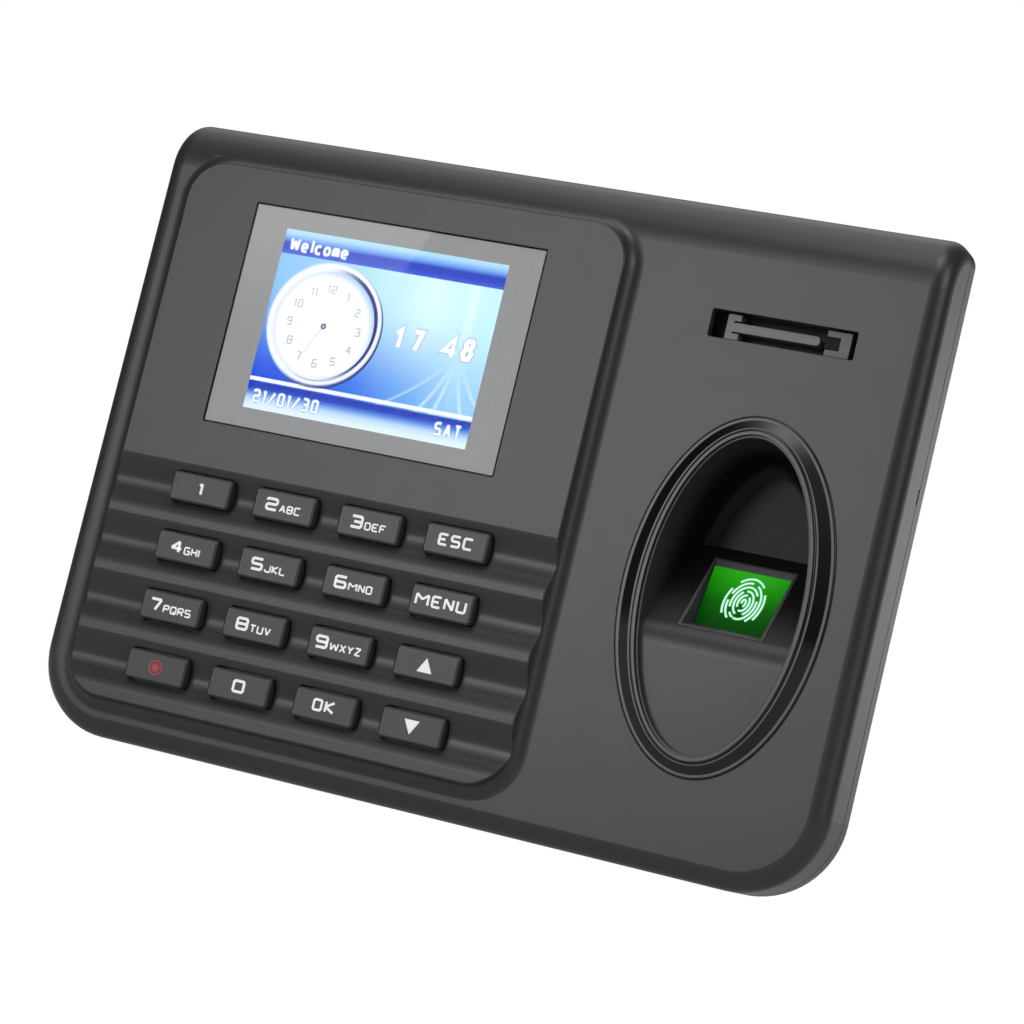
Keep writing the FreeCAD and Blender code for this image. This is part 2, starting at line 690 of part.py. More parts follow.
def dc_power_jack():
    """Round power socket with its centre pin, opening downward."""
    z0 = -CASE_H / 2 + WALL + 0.1
    body = box(JACK_X - 4.5, JACK_X + 4.5, JACK_Y - 4.4, JACK_Y + 4.4, z0, z0 + 14)
    nose = Part.makeCylinder(3.9, 2.3, Vector(JACK_X, JACK_Y, z0 - 2.2))
    bore = Part.makeCylinder(JACK_BORE_R, 12, Vector(JACK_X, JACK_Y, z0 - 2.5))
    pin = Part.makeCylinder(1.0, 10.5, Vector(JACK_X, JACK_Y, z0 - 0.5))
    return body.fuse(nose).cut(bore).fuse(pin)


def speaker():
    """Small round loudspeaker with a flange, facing the rear grille."""
    y1 = -WALL - 0.05
    basket = rod(SPEAKER_X, SPEAKER_Z, 10.0, y1 - 1.2, y1)
    can = rod(SPEAKER_X, SPEAKER_Z, 7.0, y1 - 5.0, y1 - 1.1)
    dish = Part.makeCone(5.0, 8.6, 0.9, Vector(SPEAKER_X, y1 - 0.9, SPEAKER_Z), Vector(0, 1, 0))
    return basket.fuse(can).cut(dish)


# ---------------------------------------------------------------- finger well

def flange_screw_places():
    """Four screws around the well flange."""
    places = []
    for degrees in (35, 145, 215, 325):
        a = math.radians(degrees)
        places.append((OVAL_X + 19.4 * math.cos(a), OVAL_Z + 34.0 * math.sin(a)))
    return places


def oval_bezel():
    """Glossy raised ring: outer bead, sloping band and inner bead."""
    y_seat = Y_BASE + SEAT_DEPTH
    y_bead = Y_BASE - 0.4
    base = oval(BEZEL_A, BEZEL_B, y_bead, y_seat)
    base = base.makeFillet(0.35, flat_edges(base, y_bead))
    band = oval_taper(BEZEL_A - 0.7, BEZEL_B - 0.7, Y_BASE - 0.3,
                      LIP_A + 1.5, LIP_B + 1.35, Y_BASE - 1.5)
    bead = oval(LIP_A + 1.1, LIP_B + 1.1, Y_BASE - 2.0, Y_BASE - 1.2)
    bead = bead.makeFillet(0.5, flat_edges(bead, Y_BASE - 2.0))
    ring = base.fuse(band).fuse(bead)
    ring = ring.cut(oval(LIP_A, LIP_B, Y_BASE - 4, y_seat + 1))
    return ring.cut(oval(COLLAR_A + 0.05, COLLAR_B + 0.05, Y_CUP_RIM - 0.05, y_seat + 1))


def rest_profile(back, shift, blend, front_y):
    """Side view of the space in front of the finger rest, as (y, z, radius)."""
    lean = math.radians(SLOPE_ANGLE)
    y_mid = SLOPE_Y + shift * math.cos(lean)
    z_mid = SLOPE_Z - shift * math.sin(lean)
    z_high = z_mid + (back - y_mid) / math.tan(lean)
    z_bend = z_mid + (front_y - y_mid) / math.tan(lean)
    return [
        (Y_PANEL - 20, BIG / 4, 0),
        (back, BIG / 4, 0),
        (back, z_high, 0),
        (front_y, z_bend, blend),
        (front_y + REST_TILT, -BIG / 4, 0),
        (Y_PANEL - 20, -BIG / 4, 0),
    ]


def on_slope(shape):
    """Move a shape from slope coordinates to its place in the well."""
    moved = shape.copy()
    moved.rotate(Vector(0, 0, 0), Vector(1, 0, 0), -SLOPE_ANGLE)
    moved.translate(Vector(OVAL_X, SLOPE_Y, SLOPE_Z))
    return moved


def well_space():
    """Open space of the finger well, from the rim to the back wall."""
    taper = oval_taper(CUP_A, CUP_B, Y_CUP_RIM, CUP_A - CUP_DRAFT, CUP_B - CUP_DRAFT, Y_CUP_BACK)
    taper = taper.makeFillet(CUP_BACK_R, flat_edges(taper, Y_CUP_BACK))
    rest = side_prism(rest_profile(Y_CUP_BACK + 1, 0, REST_BLEND_R, REST_Y), 0, BIG / 2)
    return taper.common(rest)


def finger_well():
    """Cup that guides the finger to the sensor: collar, flange, sloping rest, back wall."""
    y_inner = Y_BASE + WALL
    y_outer = Y_CUP_BACK + CUP_WALL
    a, b = COLLAR_A, COLLAR_B
    cup = oval(a, b, Y_CUP_RIM, y_inner + 0.1)
    cup = cup.makeFillet(0.5, flat_edges(cup, Y_CUP_RIM))
    cup = cup.fuse(oval_taper(a, b, y_inner, a - CUP_DRAFT, b - CUP_DRAFT, y_outer))
    cup = cup.fuse(oval(FLANGE_A, FLANGE_B, y_inner, y_inner + FLANGE_T))
    y_flat = y_inner + FLANGE_T
    under = side_prism(rest_profile(y_outer + 1, CUP_WALL, 0, y_flat), 0, BIG / 2)
    keep = oval(FLANGE_A, FLANGE_B, y_inner, y_flat)
    cup = cup.common(under.fuse(keep)).cut(well_space())
    window = box(-SENSOR_W / 2 - GAP, SENSOR_W / 2 + GAP, -2, CUP_WALL + 3,
                 -SENSOR_H / 2 - GAP, SENSOR_H / 2 + GAP)
    cuts = [on_slope(window)]
    for x, z in flange_screw_places():
        cuts.append(rod(x, z, 1.2, y_inner - 1, y_flat + 1))
    bosses = []
    half_w = BRACKET_W / 2 + 0.2
    half_h = BRACKET_H / 2 + 0.2
    cuts.append(on_slope(box(-half_w, half_w, CUP_WALL, CUP_WALL + 5, -half_h, -9.15)))
    for x, z in SENSOR_SCREWS:
        bosses.append(on_slope(rod(x, z, 2.0, CUP_WALL - 0.5, BRACKET_Y)))
        cuts.append(on_slope(rod(x, z, 0.9, CUP_WALL + 0.2, BRACKET_Y + 1)))
    return cup.multiFuse(bosses).cut(Part.makeCompound(cuts)).removeSplitter()


# ---------------------------------------------------------------- sensor module

def slope_prism(points, w):
    """Prism across the module over an outline of (depth, up the slope)."""
    return side_prism([(y, z, 0) for y, z in points], -w / 2, w / 2)


def glass_points(front, back, extra):
    """Outline of a slab along the glass plane between two depths behind its face."""
    (y0, z0), (y1, z1) = GLASS_LOW, GLASS_HIGH
    length = math.hypot(y1 - y0, z1 - z0)
    uy, uz = (y1 - y0) / length, (z1 - z0) / length
    low = (y0 - extra * uy, z0 - extra * uz)
    high = (y1 + extra * uy, z1 + extra * uz)
    return [
        (low[0] + front * uz, low[1] - front * uy),
        (high[0] + front * uz, high[1] - front * uy),
        (high[0] + back * uz, high[1] - back * uy),
        (low[0] + back * uz, low[1] - back * uy),
    ]


def sensor_glass():
    """Clear plate that the fingertip touches."""
    return on_slope(slope_prism(glass_points(0, GLASS_T, 0.4), GLASS_W))


def sensor_prism():
    """Optical prism behind the glass."""
    low = glass_points(GLASS_T + 0.05, GLASS_T + 0.1, -0.3)
    points = [low[0], low[1], (9.0, low[1][1]), (9.0, low[1][1] - 3)]
    return on_slope(slope_prism(points, POCKET_W - 1.8))


def sensor_housing():
    """Moulded housing: funnel in front of the glass, dark chamber behind it."""
    half_w = SENSOR_W / 2
    half_h = SENSOR_H / 2
    body = box(-half_w, half_w, 0, SENSOR_DEPTH, -half_h, half_h)
    flange = box(-half_w - 1.2, half_w + 1.2, FLANGE_Y, BRACKET_Y, -half_h - 1.2, half_h + 1.2)
    rim = half_h - 0.4
    funnel = slope_prism([(-1, -rim), (0, -rim), GLASS_LOW, GLASS_HIGH, (0, rim), (-1, rim)], POCKET_W)
    seat = slope_prism(glass_points(0, GLASS_T + 0.05, 0.45), GLASS_W + 0.1)
    low, high = glass_points(GLASS_T, GLASS_T + 1, -0.2)[:2]
    chamber = slope_prism([low, high, (SENSOR_DEPTH + 1, high[1]), (SENSOR_DEPTH + 1, -8.6),
                           (7.4, -8.6)], POCKET_W - 1.4)
    return on_slope(body.fuse(flange).cut(funnel).cut(seat).cut(chamber).removeSplitter())


def sensor_gasket():
    """Foam ring that seals the housing against the well."""
    half_w = SENSOR_W / 2
    half_h = SENSOR_H / 2
    ring = box(-half_w - 1.2, half_w + 1.2, CUP_WALL, FLANGE_Y, -half_h - 1.2, half_h + 1.2)
    return on_slope(ring.cut(box(-half_w - 0.1, half_w + 0.1, 0, 5, -half_h - 0.1, half_h + 0.1)))


def sensor_bracket():
    """Pressed steel frame that clamps the housing to the well bosses."""
    y1 = BRACKET_Y + BRACKET_T
    frame = centred_plate(0, 0, BRACKET_W, BRACKET_H, BRACKET_Y, y1, 1.5)
    half_w = SENSOR_W / 2 + 0.1
    half_h = SENSOR_H / 2 + 0.1
    frame = frame.cut(box(-half_w, half_w, 0, 9, -half_h, half_h))
    for x, z in SENSOR_SCREWS:
        frame = frame.cut(rod(x, z, 1.1, 0, 9))
    return on_slope(frame)


def sensor_screws():
    """Four screws through the bracket."""
    y_head = BRACKET_Y + BRACKET_T
    return group([on_slope(screw(x, z, y_head, 1.9, 0.88, 1.7, 1.0, -1)) for x, z in SENSOR_SCREWS])


def sensor_led_board():
    """Strip board at the bottom of the chamber."""
    return on_slope(box(-6.8, 6.8, 7.8, 12.6, -8.5, -7.7))


def sensor_leds():
    """Three emitters that light the glass from below."""
    return on_slope(group([box(x - 0.9, x + 0.9, 9.2, 11.0, -7.7, -6.6) for x in (-4.5, 0, 4.5)]))


def sensor_camera_board():
    """Board that closes the rear of the housing."""
    board = box(-8.4, 8.4, SENSOR_DEPTH, SENSOR_DEPTH + 1.0, -9.9, 9.9)
    socket = box(-8.4, -4.4, SENSOR_DEPTH + 1.0, SENSOR_DEPTH + 3.4, -4, 4)
    return on_slope(board.fuse(socket))


def sensor_lens():
    """Lens barrel in front of the image chip."""
    barrel = rod(0, 1.5, 2.6, 10.2, SENSOR_DEPTH)
    return on_slope(barrel.cut(rod(0, 1.5, 1.6, 10.0, 10.8)))


def sensor_cable():
    """Cable from the camera board to the main board."""
    socket = on_slope(Part.Vertex(-8.45, SENSOR_DEPTH + 2.2, 0)).Point
    y_plug = Y_BOARD_BACK + 2.5
    return cable([(socket.x, socket.y, socket.z), (37.0, socket.y, socket.z),
                  (27.0, y_plug, -10.0), (16.5, y_plug, -10.0)], 1.1)


# ---------------------------------------------------------------- status indicator

def indicator_light_guide():
    """Pale moulding in the slot: end bar with two short prongs and a long tongue."""
    x0 = GUIDE_X0
    root = x0 + GUIDE_BAR / 2
    bar = centred_plate(root, SLOT_MID, GUIDE_BAR, 2 * GUIDE_HALF, Y_GUIDE, Y_LAMP_BOARD, 0)
    z0, z1 = SLOT_MID - TONGUE_HALF, SLOT_MID + TONGUE_HALF
    tongue = plate(root, TONGUE_X1, z0, z1, Y_GUIDE, Y_GUIDE_BACK, TONGUE_HALF * 0.9)
    pieces = [bar, tongue]
    prong_h = GUIDE_HALF - TONGUE_HALF - GUIDE_SLIT
    for way in (-1, 1):
        z = SLOT_MID + way * (GUIDE_HALF - prong_h / 2)
        z0, z1 = z - prong_h / 2, z + prong_h / 2
        pieces.append(box(root, PRONG_X1, Y_GUIDE, Y_GUIDE_BACK, z0, z1))
    return join(pieces)


def indicator_clip():
    """C-shaped clip in the right end of the slot."""
    z0, z1 = SLOT_MID - GUIDE_HALF, SLOT_MID + GUIDE_HALF
    clip = box(CLIP_X0, CLIP_X1, Y_GUIDE, Y_LAMP_BOARD, z0, z1)
    inside = CLIP_X1 - CLIP_BAR
    return clip.cut(box(CLIP_X0 - 1, inside, Y_GUIDE - 1, Y_LAMP_BOARD + 1, z0 + CLIP_ARM, z1 - CLIP_ARM))


def light_sensor():
    """Small dark sensor block between the arms of the clip."""
    half = GUIDE_HALF - CLIP_ARM - 0.12
    x1 = CLIP_X1 - CLIP_BAR - 0.05
    return box(CLIP_X0 - 0.3, x1, Y_GUIDE + 0.3, Y_LAMP_BOARD, SLOT_MID - half, SLOT_MID + half)


def indicator_board():
    """Small board behind the slot."""
    x0, x1 = SLOT_X0 - LAMP_BOARD_EDGE, SLOT_X1 + LAMP_BOARD_EDGE
    z0, z1 = SLOT_Z0 - LAMP_BOARD_EDGE, SLOT_Z1 + LAMP_BOARD_EDGE
    return plate(x0, x1, z0, z1, Y_LAMP_BOARD, Y_LAMP_BOARD + LAMP_BOARD_T, 1.0)


def indicator_leds():
    """Two status lamps under the tongue."""
    lamps = []
    for x in LAMP_X:
        lamps.append(centred_plate(x, SLOT_MID, 2.0, 1.2, Y_GUIDE_BACK + GAP, Y_LAMP_BOARD, 0))
    return group(lamps)


def indicator_cable():
    """Cable from the indicator board to the main board."""
    y_back = Y_LAMP_BOARD + LAMP_BOARD_T
    y_run = y_back + 3.0
    z_end = SLOT_MID - 6
    return cable([(45.0, y_back, SLOT_MID), (45.0, y_run, SLOT_MID), (24.0, y_run, z_end),
                  (20.0, y_run - 1.0, z_end), (20.0, Y_BOARD_BACK, z_end)], 0.9)


# ---------------------------------------------------------------- fasteners and label

def case_screws():
    """Four long screws that hold the covers together."""
    return group([screw(x, z, -9.0, 15.0, 1.47, 2.8, 2.0, -1) for x, z in CASE_SCREWS])


def board_screws():
    """Four short screws that hold the main board."""
    return group([screw(x, z, Y_BOARD_BACK, 3.6, 0.97, 2.0, 1.4, -1) for x, z in BOARD_SCREWS])


def well_screws():
    """Four small screws through the well flange."""
    y = Y_BASE + WALL + FLANGE_T
    return group([screw(x, z, y, 2.8, 0.97, 1.7, 1.0, -1) for x, z in flange_screw_places()])


def rating_label():
    """Blank plate in the recess of the rear face."""
    return centred_plate(LABEL_X, LABEL_Z, LABEL_W, LABEL_H, -0.3, -0.05, 1.0)


# ---------------------------------------------------------------- output

def nodes():
    """Name and shape of every piece."""
    pieces = {
        "front_cover": front_cover(),
        "rear_cover": rear_cover(),
        "display_window": display_window(),
        "window_tape": window_tape(),
        "lcd_panel": lcd_panel(),
        "lcd_backlight": lcd_backlight(),
        "lcd_frame": lcd_frame(),
        "lcd_flex_cable": lcd_flex_cable(),
        "display_connector": display_connector(),
        "keypad_mat": keypad_mat(),
        "main_board": main_board(),
        "processor": chip(-40, -25, 16, 16, 1.8),
        "memory_chip": chip(-14, -25, 8, 12, 1.4),
        "capacitors": capacitors(),
        "coin_cell_holder": coin_cell_holder(),
        "coin_cell": coin_cell(),
        "sensor_connector": sensor_connector(),
        "usb_port": usb_port(),
        "dc_power_jack": dc_power_jack(),
        "speaker": speaker(),
        "oval_bezel": oval_bezel(),
        "finger_well": finger_well(),
        "sensor_glass": sensor_glass(),
        "sensor_prism": sensor_prism(),
        "sensor_housing": sensor_housing(),
        "sensor_gasket": sensor_gasket(),
        "sensor_bracket": sensor_bracket(),
        "sensor_screws": sensor_screws(),
        "sensor_led_board": sensor_led_board(),
        "sensor_leds": sensor_leds(),
        "sensor_lens": sensor_lens(),
        "sensor_camera_board": sensor_camera_board(),
        "sensor_cable": sensor_cable(),
        "indicator_light_guide": indicator_light_guide(),
        "indicator_clip": indicator_clip(),
        "light_sensor": light_sensor(),
        "indicator_board": indicator_board(),
        "indicator_leds": indicator_leds(),
        "indicator_cable": indicator_cable(),
        "case_screws": case_screws(),
        "board_screws": board_screws(),
        "well_screws": well_screws(),
        "rating_label": rating_label(),
    }
    for name, x, z in key_places():
        pieces[name] = key(x, z)
    return pieces


os.makedirs("parts", exist_ok=True)
for node, shape in nodes().items():
    shape.exportStep("parts/" + node + ".step")
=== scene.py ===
import json
import math

import bmesh
import bpy
from mathutils import Matrix, Vector


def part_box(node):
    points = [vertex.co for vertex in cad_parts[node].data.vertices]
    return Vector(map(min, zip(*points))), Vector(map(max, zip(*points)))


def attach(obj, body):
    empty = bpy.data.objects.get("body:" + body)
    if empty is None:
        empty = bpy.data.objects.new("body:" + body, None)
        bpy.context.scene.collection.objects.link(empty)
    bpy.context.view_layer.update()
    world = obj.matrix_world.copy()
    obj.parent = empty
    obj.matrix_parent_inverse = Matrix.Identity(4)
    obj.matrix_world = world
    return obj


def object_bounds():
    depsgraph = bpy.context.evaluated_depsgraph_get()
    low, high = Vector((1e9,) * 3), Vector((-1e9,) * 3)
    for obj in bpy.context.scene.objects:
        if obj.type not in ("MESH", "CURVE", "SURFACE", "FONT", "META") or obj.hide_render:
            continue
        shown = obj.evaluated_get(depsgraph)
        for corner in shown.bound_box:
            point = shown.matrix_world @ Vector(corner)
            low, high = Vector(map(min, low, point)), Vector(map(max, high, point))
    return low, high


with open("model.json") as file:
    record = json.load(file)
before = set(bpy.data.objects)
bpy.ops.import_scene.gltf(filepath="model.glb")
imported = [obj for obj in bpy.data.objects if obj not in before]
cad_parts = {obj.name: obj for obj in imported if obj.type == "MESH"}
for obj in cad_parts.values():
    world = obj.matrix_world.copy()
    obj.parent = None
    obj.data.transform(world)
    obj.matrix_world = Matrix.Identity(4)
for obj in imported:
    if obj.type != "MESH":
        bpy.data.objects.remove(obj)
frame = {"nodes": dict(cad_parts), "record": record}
cad_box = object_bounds()

# Wall-mounted fingerprint terminal: looks around the CAD frame.
# Blender units are metres; MM turns the millimetre values below into them.
# X runs to the right seen from the front, Y into the wall, Z up. The front faces -Y.
MM = 0.001

# Camera: place of the lens, direction of view and roll
CAMERA_PLACE = Vector((0.22227, -0.55752, -0.05835))
CAMERA_YAW = math.radians(22.034)           # turned towards -X from +Y
CAMERA_PITCH = math.radians(5.504)          # above the horizon
CAMERA_ROLL = math.radians(13.608)
CAMERA_LENS = 104.5
CAMERA_SENSOR = 36.0

# Soft studio light in degrees: azimuth from the front (-Y) to the right (+X), height, half width; strength
LIGHTS = {
    "front_softbox": (-22.5, 5.5, 8.3, 3.7),
    "left_softbox": (-46.0, -7.0, 8.3, 4.4),
    "overhead_front": (3.0, 63.5, 15.0, 3.2),
    "overhead_left": (-101.0, 74.5, 12.5, 1.1),
    "right_softbox": (69.0, 24.5, 14.5, 2.45),
    "rear_glow": (171.0, 7.5, 5.0, 1.45),
    "front_card": (-1.0, -19.0, 5.0, 4.0),
    "front_haze": (-12.5, 19.0, 12.5, 1.5),
    "rear_left_wash": (-153.0, 51.0, 19.0, 0.87),
    "rear_right_wash": (145.0, -2.0, 17.0, 0.73),
    "table_bounce": (-93.0, -67.0, 37.5, 0.54),
}

# Floor: half its side and its drop below the case in millimetres, white seen directly, light sent upwards
FLOOR_HALF = 3000.0
FLOOR_DROP = 0.2
FLOOR_WHITE = 0.97
FLOOR_GLOW = 0.31

# Display picture, in millimetres around the window's centre as seen on the window's front face
PICTURE_CENTRE = (0.35, 0.0)
PICTURE_W = 48.9
PICTURE_H = 37.0
LAYER = 0.012                               # step between printed or shown layers
LAYER_FILL = 0.8                            # thickness of a layer as a share of the step
TOP_BAR = (13.6, 18.5)
WHITE_LINE = (-12.8, -12.0)
BOTTOM_BAR = (-18.5, -13.1)
OVERLAP = 1.0                               # width of the picture that the mask hides
MASK_GAP = 0.1                              # between the mask and the lens's edge
CLOCK = (-11.05, 0.72)
CLOCK_W = 12.55                             # half width and half height of the rim
CLOCK_H = 12.75
DIAL = (-11.05, 0.25)
DIAL_R = 10.95
ARC_R = 11.4                                # outer edge of the dark arc inside the rim
NUMERAL_R = 7.6
NUMERAL_W = 0.9
NUMERAL_H = 1.5
NUMERAL_STROKE = 0.22
NUMERAL_GAP = 0.4
NUMERAL_DROP = 0.85                         # from a numeral's middle to its foot
HAND_TIP = (-4.3, -8.5)                     # from the dial's centre
HAND_W = 0.22                               # at the hub
HAND_TAIL = 0.12                            # length past the hub as a share of the hand
HAND_POINT = 0.3                            # width at the tip as a share of that at the hub
HUB_R = 0.62
HUB_HOLE_R = 0.2
COLUMN_X = 19.3                             # bright column of the field
RAY_TOP = (19.0, 4.0)                       # where the rays part
RAYS = [(-0.050, 0.42), (-0.022, 0.5), (-0.010, 0.5), (0.012, 0.5), (0.030, 0.4)]    # bend, brightness
PICTURE_DEPTH = 0.1                         # behind the back of the lens
MASK_DEPTH = 0.2                            # behind the face of the lens
# Strength of the painted reflection: white self-lit light added to the lens's front for camera rays
PAINTED_REFLECTION_LIFT = 0.07
PICTURE_GLOW = 1.13                         # makes up for what the lens takes away
PAINTED_REFLECTION_EDGE = ((7.3, 22.7), (3.3, 13.7))     # edge of the painted reflection on the lens

# Base colour and gloss of the black mouldings
CASE_GREY = (0.040, 0.040, 0.041, 1)
CASE_ROUGHNESS = 0.26
KEY_ROUGHNESS = 0.28

# Depths between which painted shade makes the finger well darker and duller
WELL_SHADE = (-28.0, -20.0)

# Letters: rise of each further stroke as a share of the height, corner cut as a share of the stroke
STROKE_STEP = 0.02
CORNER_CUT = 0.5

# Key legends
DIGIT_W = 2.2
DIGIT_H = 2.1
DIGIT_STROKE = 0.54
LETTER_W = 1.1
LETTER_H = 1.33
LETTER_STROKE = 0.32
LETTER_GAP = 0.2
DIGIT_GAP = 0.4                             # between the digit and its letters
DIGIT_RISE = 0.1                            # above the key's middle
WORD_W = 1.68
WORD_H = 1.98
WORD_STROKE = 0.48
WORD_GAP = 0.45
WORD_RISE = 0.15
INK_T = 0.02                                # above the key's face, and as far below it
POWER_RING = (1.5, 1.25)                    # outer and inner radius
POWER_DOT = 0.85
ARROW_W = 3.2
ARROW_H = 2.8

# Display writing: bold slanted digits in millimetres along the middle of their strokes
TIME_STROKE = 1.05
TIME_FOOT = -1.15
TIME_DIGITS = [("1", 5.0), ("7", 8.8), ("4", 15.6), ("8", 19.5)]
BOLD_PATHS = {
    "1": [[(0.0, 2.75), (0.95, 3.65), (0.75, 0.0)]],
    "7": [[(0.0, 3.65), (1.65, 3.65), (0.6, 0.0)]],
    "4": [[(1.65, 0.0), (1.95, 3.75), (-0.15, 1.0), (2.35, 1.0)]],
    "8": [[(0.7, 2.05), (0.45, 2.9), (0.9, 3.65), (1.7, 3.65), (1.95, 2.9), (1.5, 2.05), (0.7, 2.05)],
          [(0.7, 2.05), (0.1, 1.1), (0.5, 0.0), (1.5, 0.0), (1.95, 1.1), (1.5, 2.05), (0.7, 2.05)]],
}
CAPTION_STROKE = 0.5
CAPTION_W = 1.1
CAPTION_H = 2.25
CAPTIONS = [("Welcome", -22.6, 14.25, 0.35), ("21/01/30", -22.5, -17.2, 0.5), ("SAT", 17.5, -16.9, 0.5)]
OUTLINE = 0.28

# Whorl on the finger plate: arcs of each ring in degrees, half sizes of the first ring and their growth
ICON_ARCS = [
    [(-70, 190)], [(-110, 55), (80, 215)], [(-65, 100), (120, 250)],
    [(-105, 15), (35, 200), (222, 250)], [(-55, 65), (85, 160), (178, 235)],
    [(-35, 28), (48, 128), (150, 212)],
]
ICON_CORE = (0.38, 0.8)
ICON_STEP = (0.68, 0.9)
ICON_LEAN = 0.12
ICON_STROKE = 0.34
ICON_HEIGHTS = (0.05, 0.08)                 # above the glass
HALO_STROKE = 0.60
HALO_HEIGHTS = (0.03, 0.05)

# Form printed on the rear label
LABEL_MARGIN = 1.5
LABEL_RULE_INDENT = 2.0
LABEL_FRAME_STROKE = 0.35
LABEL_RULE_STROKE = 0.2
LABEL_RULES = (-0.4, 0.0, 0.4)              # heights as shares of half the form

# Stroke letters on a grid 4 columns wide and 6 rows high: each pair of digits is one point
GLYPHS = {
    "0": ["06 46 40 00 06"], "1": ["15 26 20"], "2": ["05 06 46 43 03 00 40"],
    "3": ["06 46 40 00", "13 43"], "4": ["30 36 02 42"], "5": ["46 06 03 43 40 00"],
    "6": ["46 06 00 40 43 03"], "7": ["06 46 20"], "8": ["06 46 40 00 06", "03 43"],
    "9": ["00 40 46 06 03 43"], "A": ["00 26 40", "12 32"],
    "B": ["00 06 36 45 44 33 03", "33 42 41 30 00"], "C": ["46 06 00 40"],
    "D": ["00 06 36 45 41 30 00"], "E": ["46 06 00 40", "03 33"], "F": ["46 06 00", "03 33"],
    "G": ["46 06 00 40 43 23"], "H": ["06 00", "46 40", "03 43"], "I": ["26 20"],
    "J": ["46 40 00 02"], "K": ["06 00", "46 03 40"], "L": ["06 00 40"],
    "M": ["00 06 33 66 60"], "N": ["00 06 40 46"], "O": ["06 46 40 00 06"],
    "P": ["00 06 46 43 03"], "Q": ["06 46 40 00 06", "22 40"],
    "R": ["00 06 46 43 03", "23 40"], "S": ["46 06 03 43 40 00"], "T": ["06 46", "26 20"],
    "U": ["06 00 40 46"], "V": ["06 20 46"], "W": ["06 10 35 50 66"], "X": ["06 40", "00 46"],
    "Y": ["06 23 46", "23 20"], "Z": ["06 46 00 40"], "/": ["00 46"],
    "e": ["02 42 43 34 14 03 01 10 40"], "l": ["16 26 20"], "c": ["44 14 03 01 10 40"],
    "o": ["14 34 43 41 30 10 01 03 14"], "m": ["00 04", "04 24 20", "24 44 40"],
}
KEY_LEGENDS = {
    "key_1": ("1", ""), "key_2": ("2", "ABC"), "key_3": ("3", "DEF"), "key_4": ("4", "GHI"),
    "key_5": ("5", "JKL"), "key_6": ("6", "MNO"), "key_7": ("7", "PQRS"), "key_8": ("8", "TUV"),
    "key_9": ("9", "WXYZ"), "key_0": ("0", ""),
}
KEY_WORDS = {"key_esc": "ESC", "key_menu": "MENU", "key_ok": "OK"}


# ---------------------------------------------------------------- node helpers

def tone(red, green, blue):
    """Linear colour of a display tone given as 0 to 255."""
    linear = []
    for value in (red, green, blue):
        share = value / 255
        linear.append(share / 12.92 if share < 0.04045 else ((share + 0.055) / 1.055) ** 2.4)
    return (*linear, 1.0)


class Nodes:
    """Builds a node tree with short calls."""

    def __init__(self, tree):
        self.tree = tree
        self.place = None

    def add(self, kind, inputs=None, **settings):
        made = self.tree.nodes.new("ShaderNode" + kind)
        for name, value in settings.items():
            setattr(made, name, value)
        for name, value in (inputs or {}).items():
            self.feed(made.inputs[name], value)
        return made

    def feed(self, socket, value):
        if isinstance(value, bpy.types.NodeSocket):
            self.tree.links.new(value, socket)
        else:
            socket.default_value = value

    def math(self, operation, a, b=0.0, clamp=False):
        return self.add("Math", {0: a, 1: b}, operation=operation, use_clamp=clamp).outputs[0]

    def ramp(self, value, low, high, out_low, out_high):
        """value from low..high to out_low..out_high, clamped and eased."""
        made = self.add("MapRange", {"Value": value, "From Min": low, "From Max": high,
                                     "To Min": out_low, "To Max": out_high},
                        interpolation_type="SMOOTHSTEP")
        return made.outputs["Result"]

    def mix(self, share, a, b, blend="MIX"):
        made = self.add("Mix", {0: share, 6: a, 7: b}, data_type="RGBA", blend_type=blend)
        return made.outputs[2]

    def noise(self, size, detail=2.0, stretch=(1.0, 1.0, 1.0)):
        """Noise with grains of the given size in metres."""
        scaled = self.add("Mapping", {"Vector": self.place, "Scale": stretch}).outputs[0]
        made = self.add("TexNoise", {"Vector": scaled, "Scale": 1 / size, "Detail": detail})
        return made.outputs["Fac"]

    def axes(self):
        return self.add("SeparateXYZ", {0: self.place}).outputs

    def tones(self, value, stops):
        """Colour ramp over value from (position, colour) stops."""
        made = self.add("ValToRGB", {"Fac": value})
        ramp = made.color_ramp
        while len(ramp.elements) < len(stops):
            ramp.elements.new(0.5)
        for element, (position, colour) in zip(ramp.elements, stops):
            element.position = position
            element.color = colour
        return made.outputs["Color"]


class Surface(Nodes):
    """A material with a Principled surface."""

    def __init__(self, name):
        self.material = bpy.data.materials.new(name)
        self.material.use_nodes = True
        super().__init__(self.material.node_tree)
        self.shader = self.tree.nodes["Principled BSDF"]
        self.output = self.tree.nodes["Material Output"]
        self.place = self.add("TexCoord").outputs["Object"]

    def set(self, **values):
        for name, value in values.items():
            self.feed(self.shader.inputs[name.replace("_", " ")], value)

    def relief(self, height, distance, edge=0.0):
        """Bump from a height, over edges rounded to the given radius."""
        inputs = {"Height": height, "Distance": distance}
        if edge:
            inputs["Normal"] = self.add("Bevel", {"Radius": edge}, samples=4).outputs[0]
        self.set(Normal=self.add("Bump", inputs).outputs[0])

    def surface(self, shader):
        self.tree.links.new(shader, self.output.inputs["Surface"])


# ---------------------------------------------------------------- materials

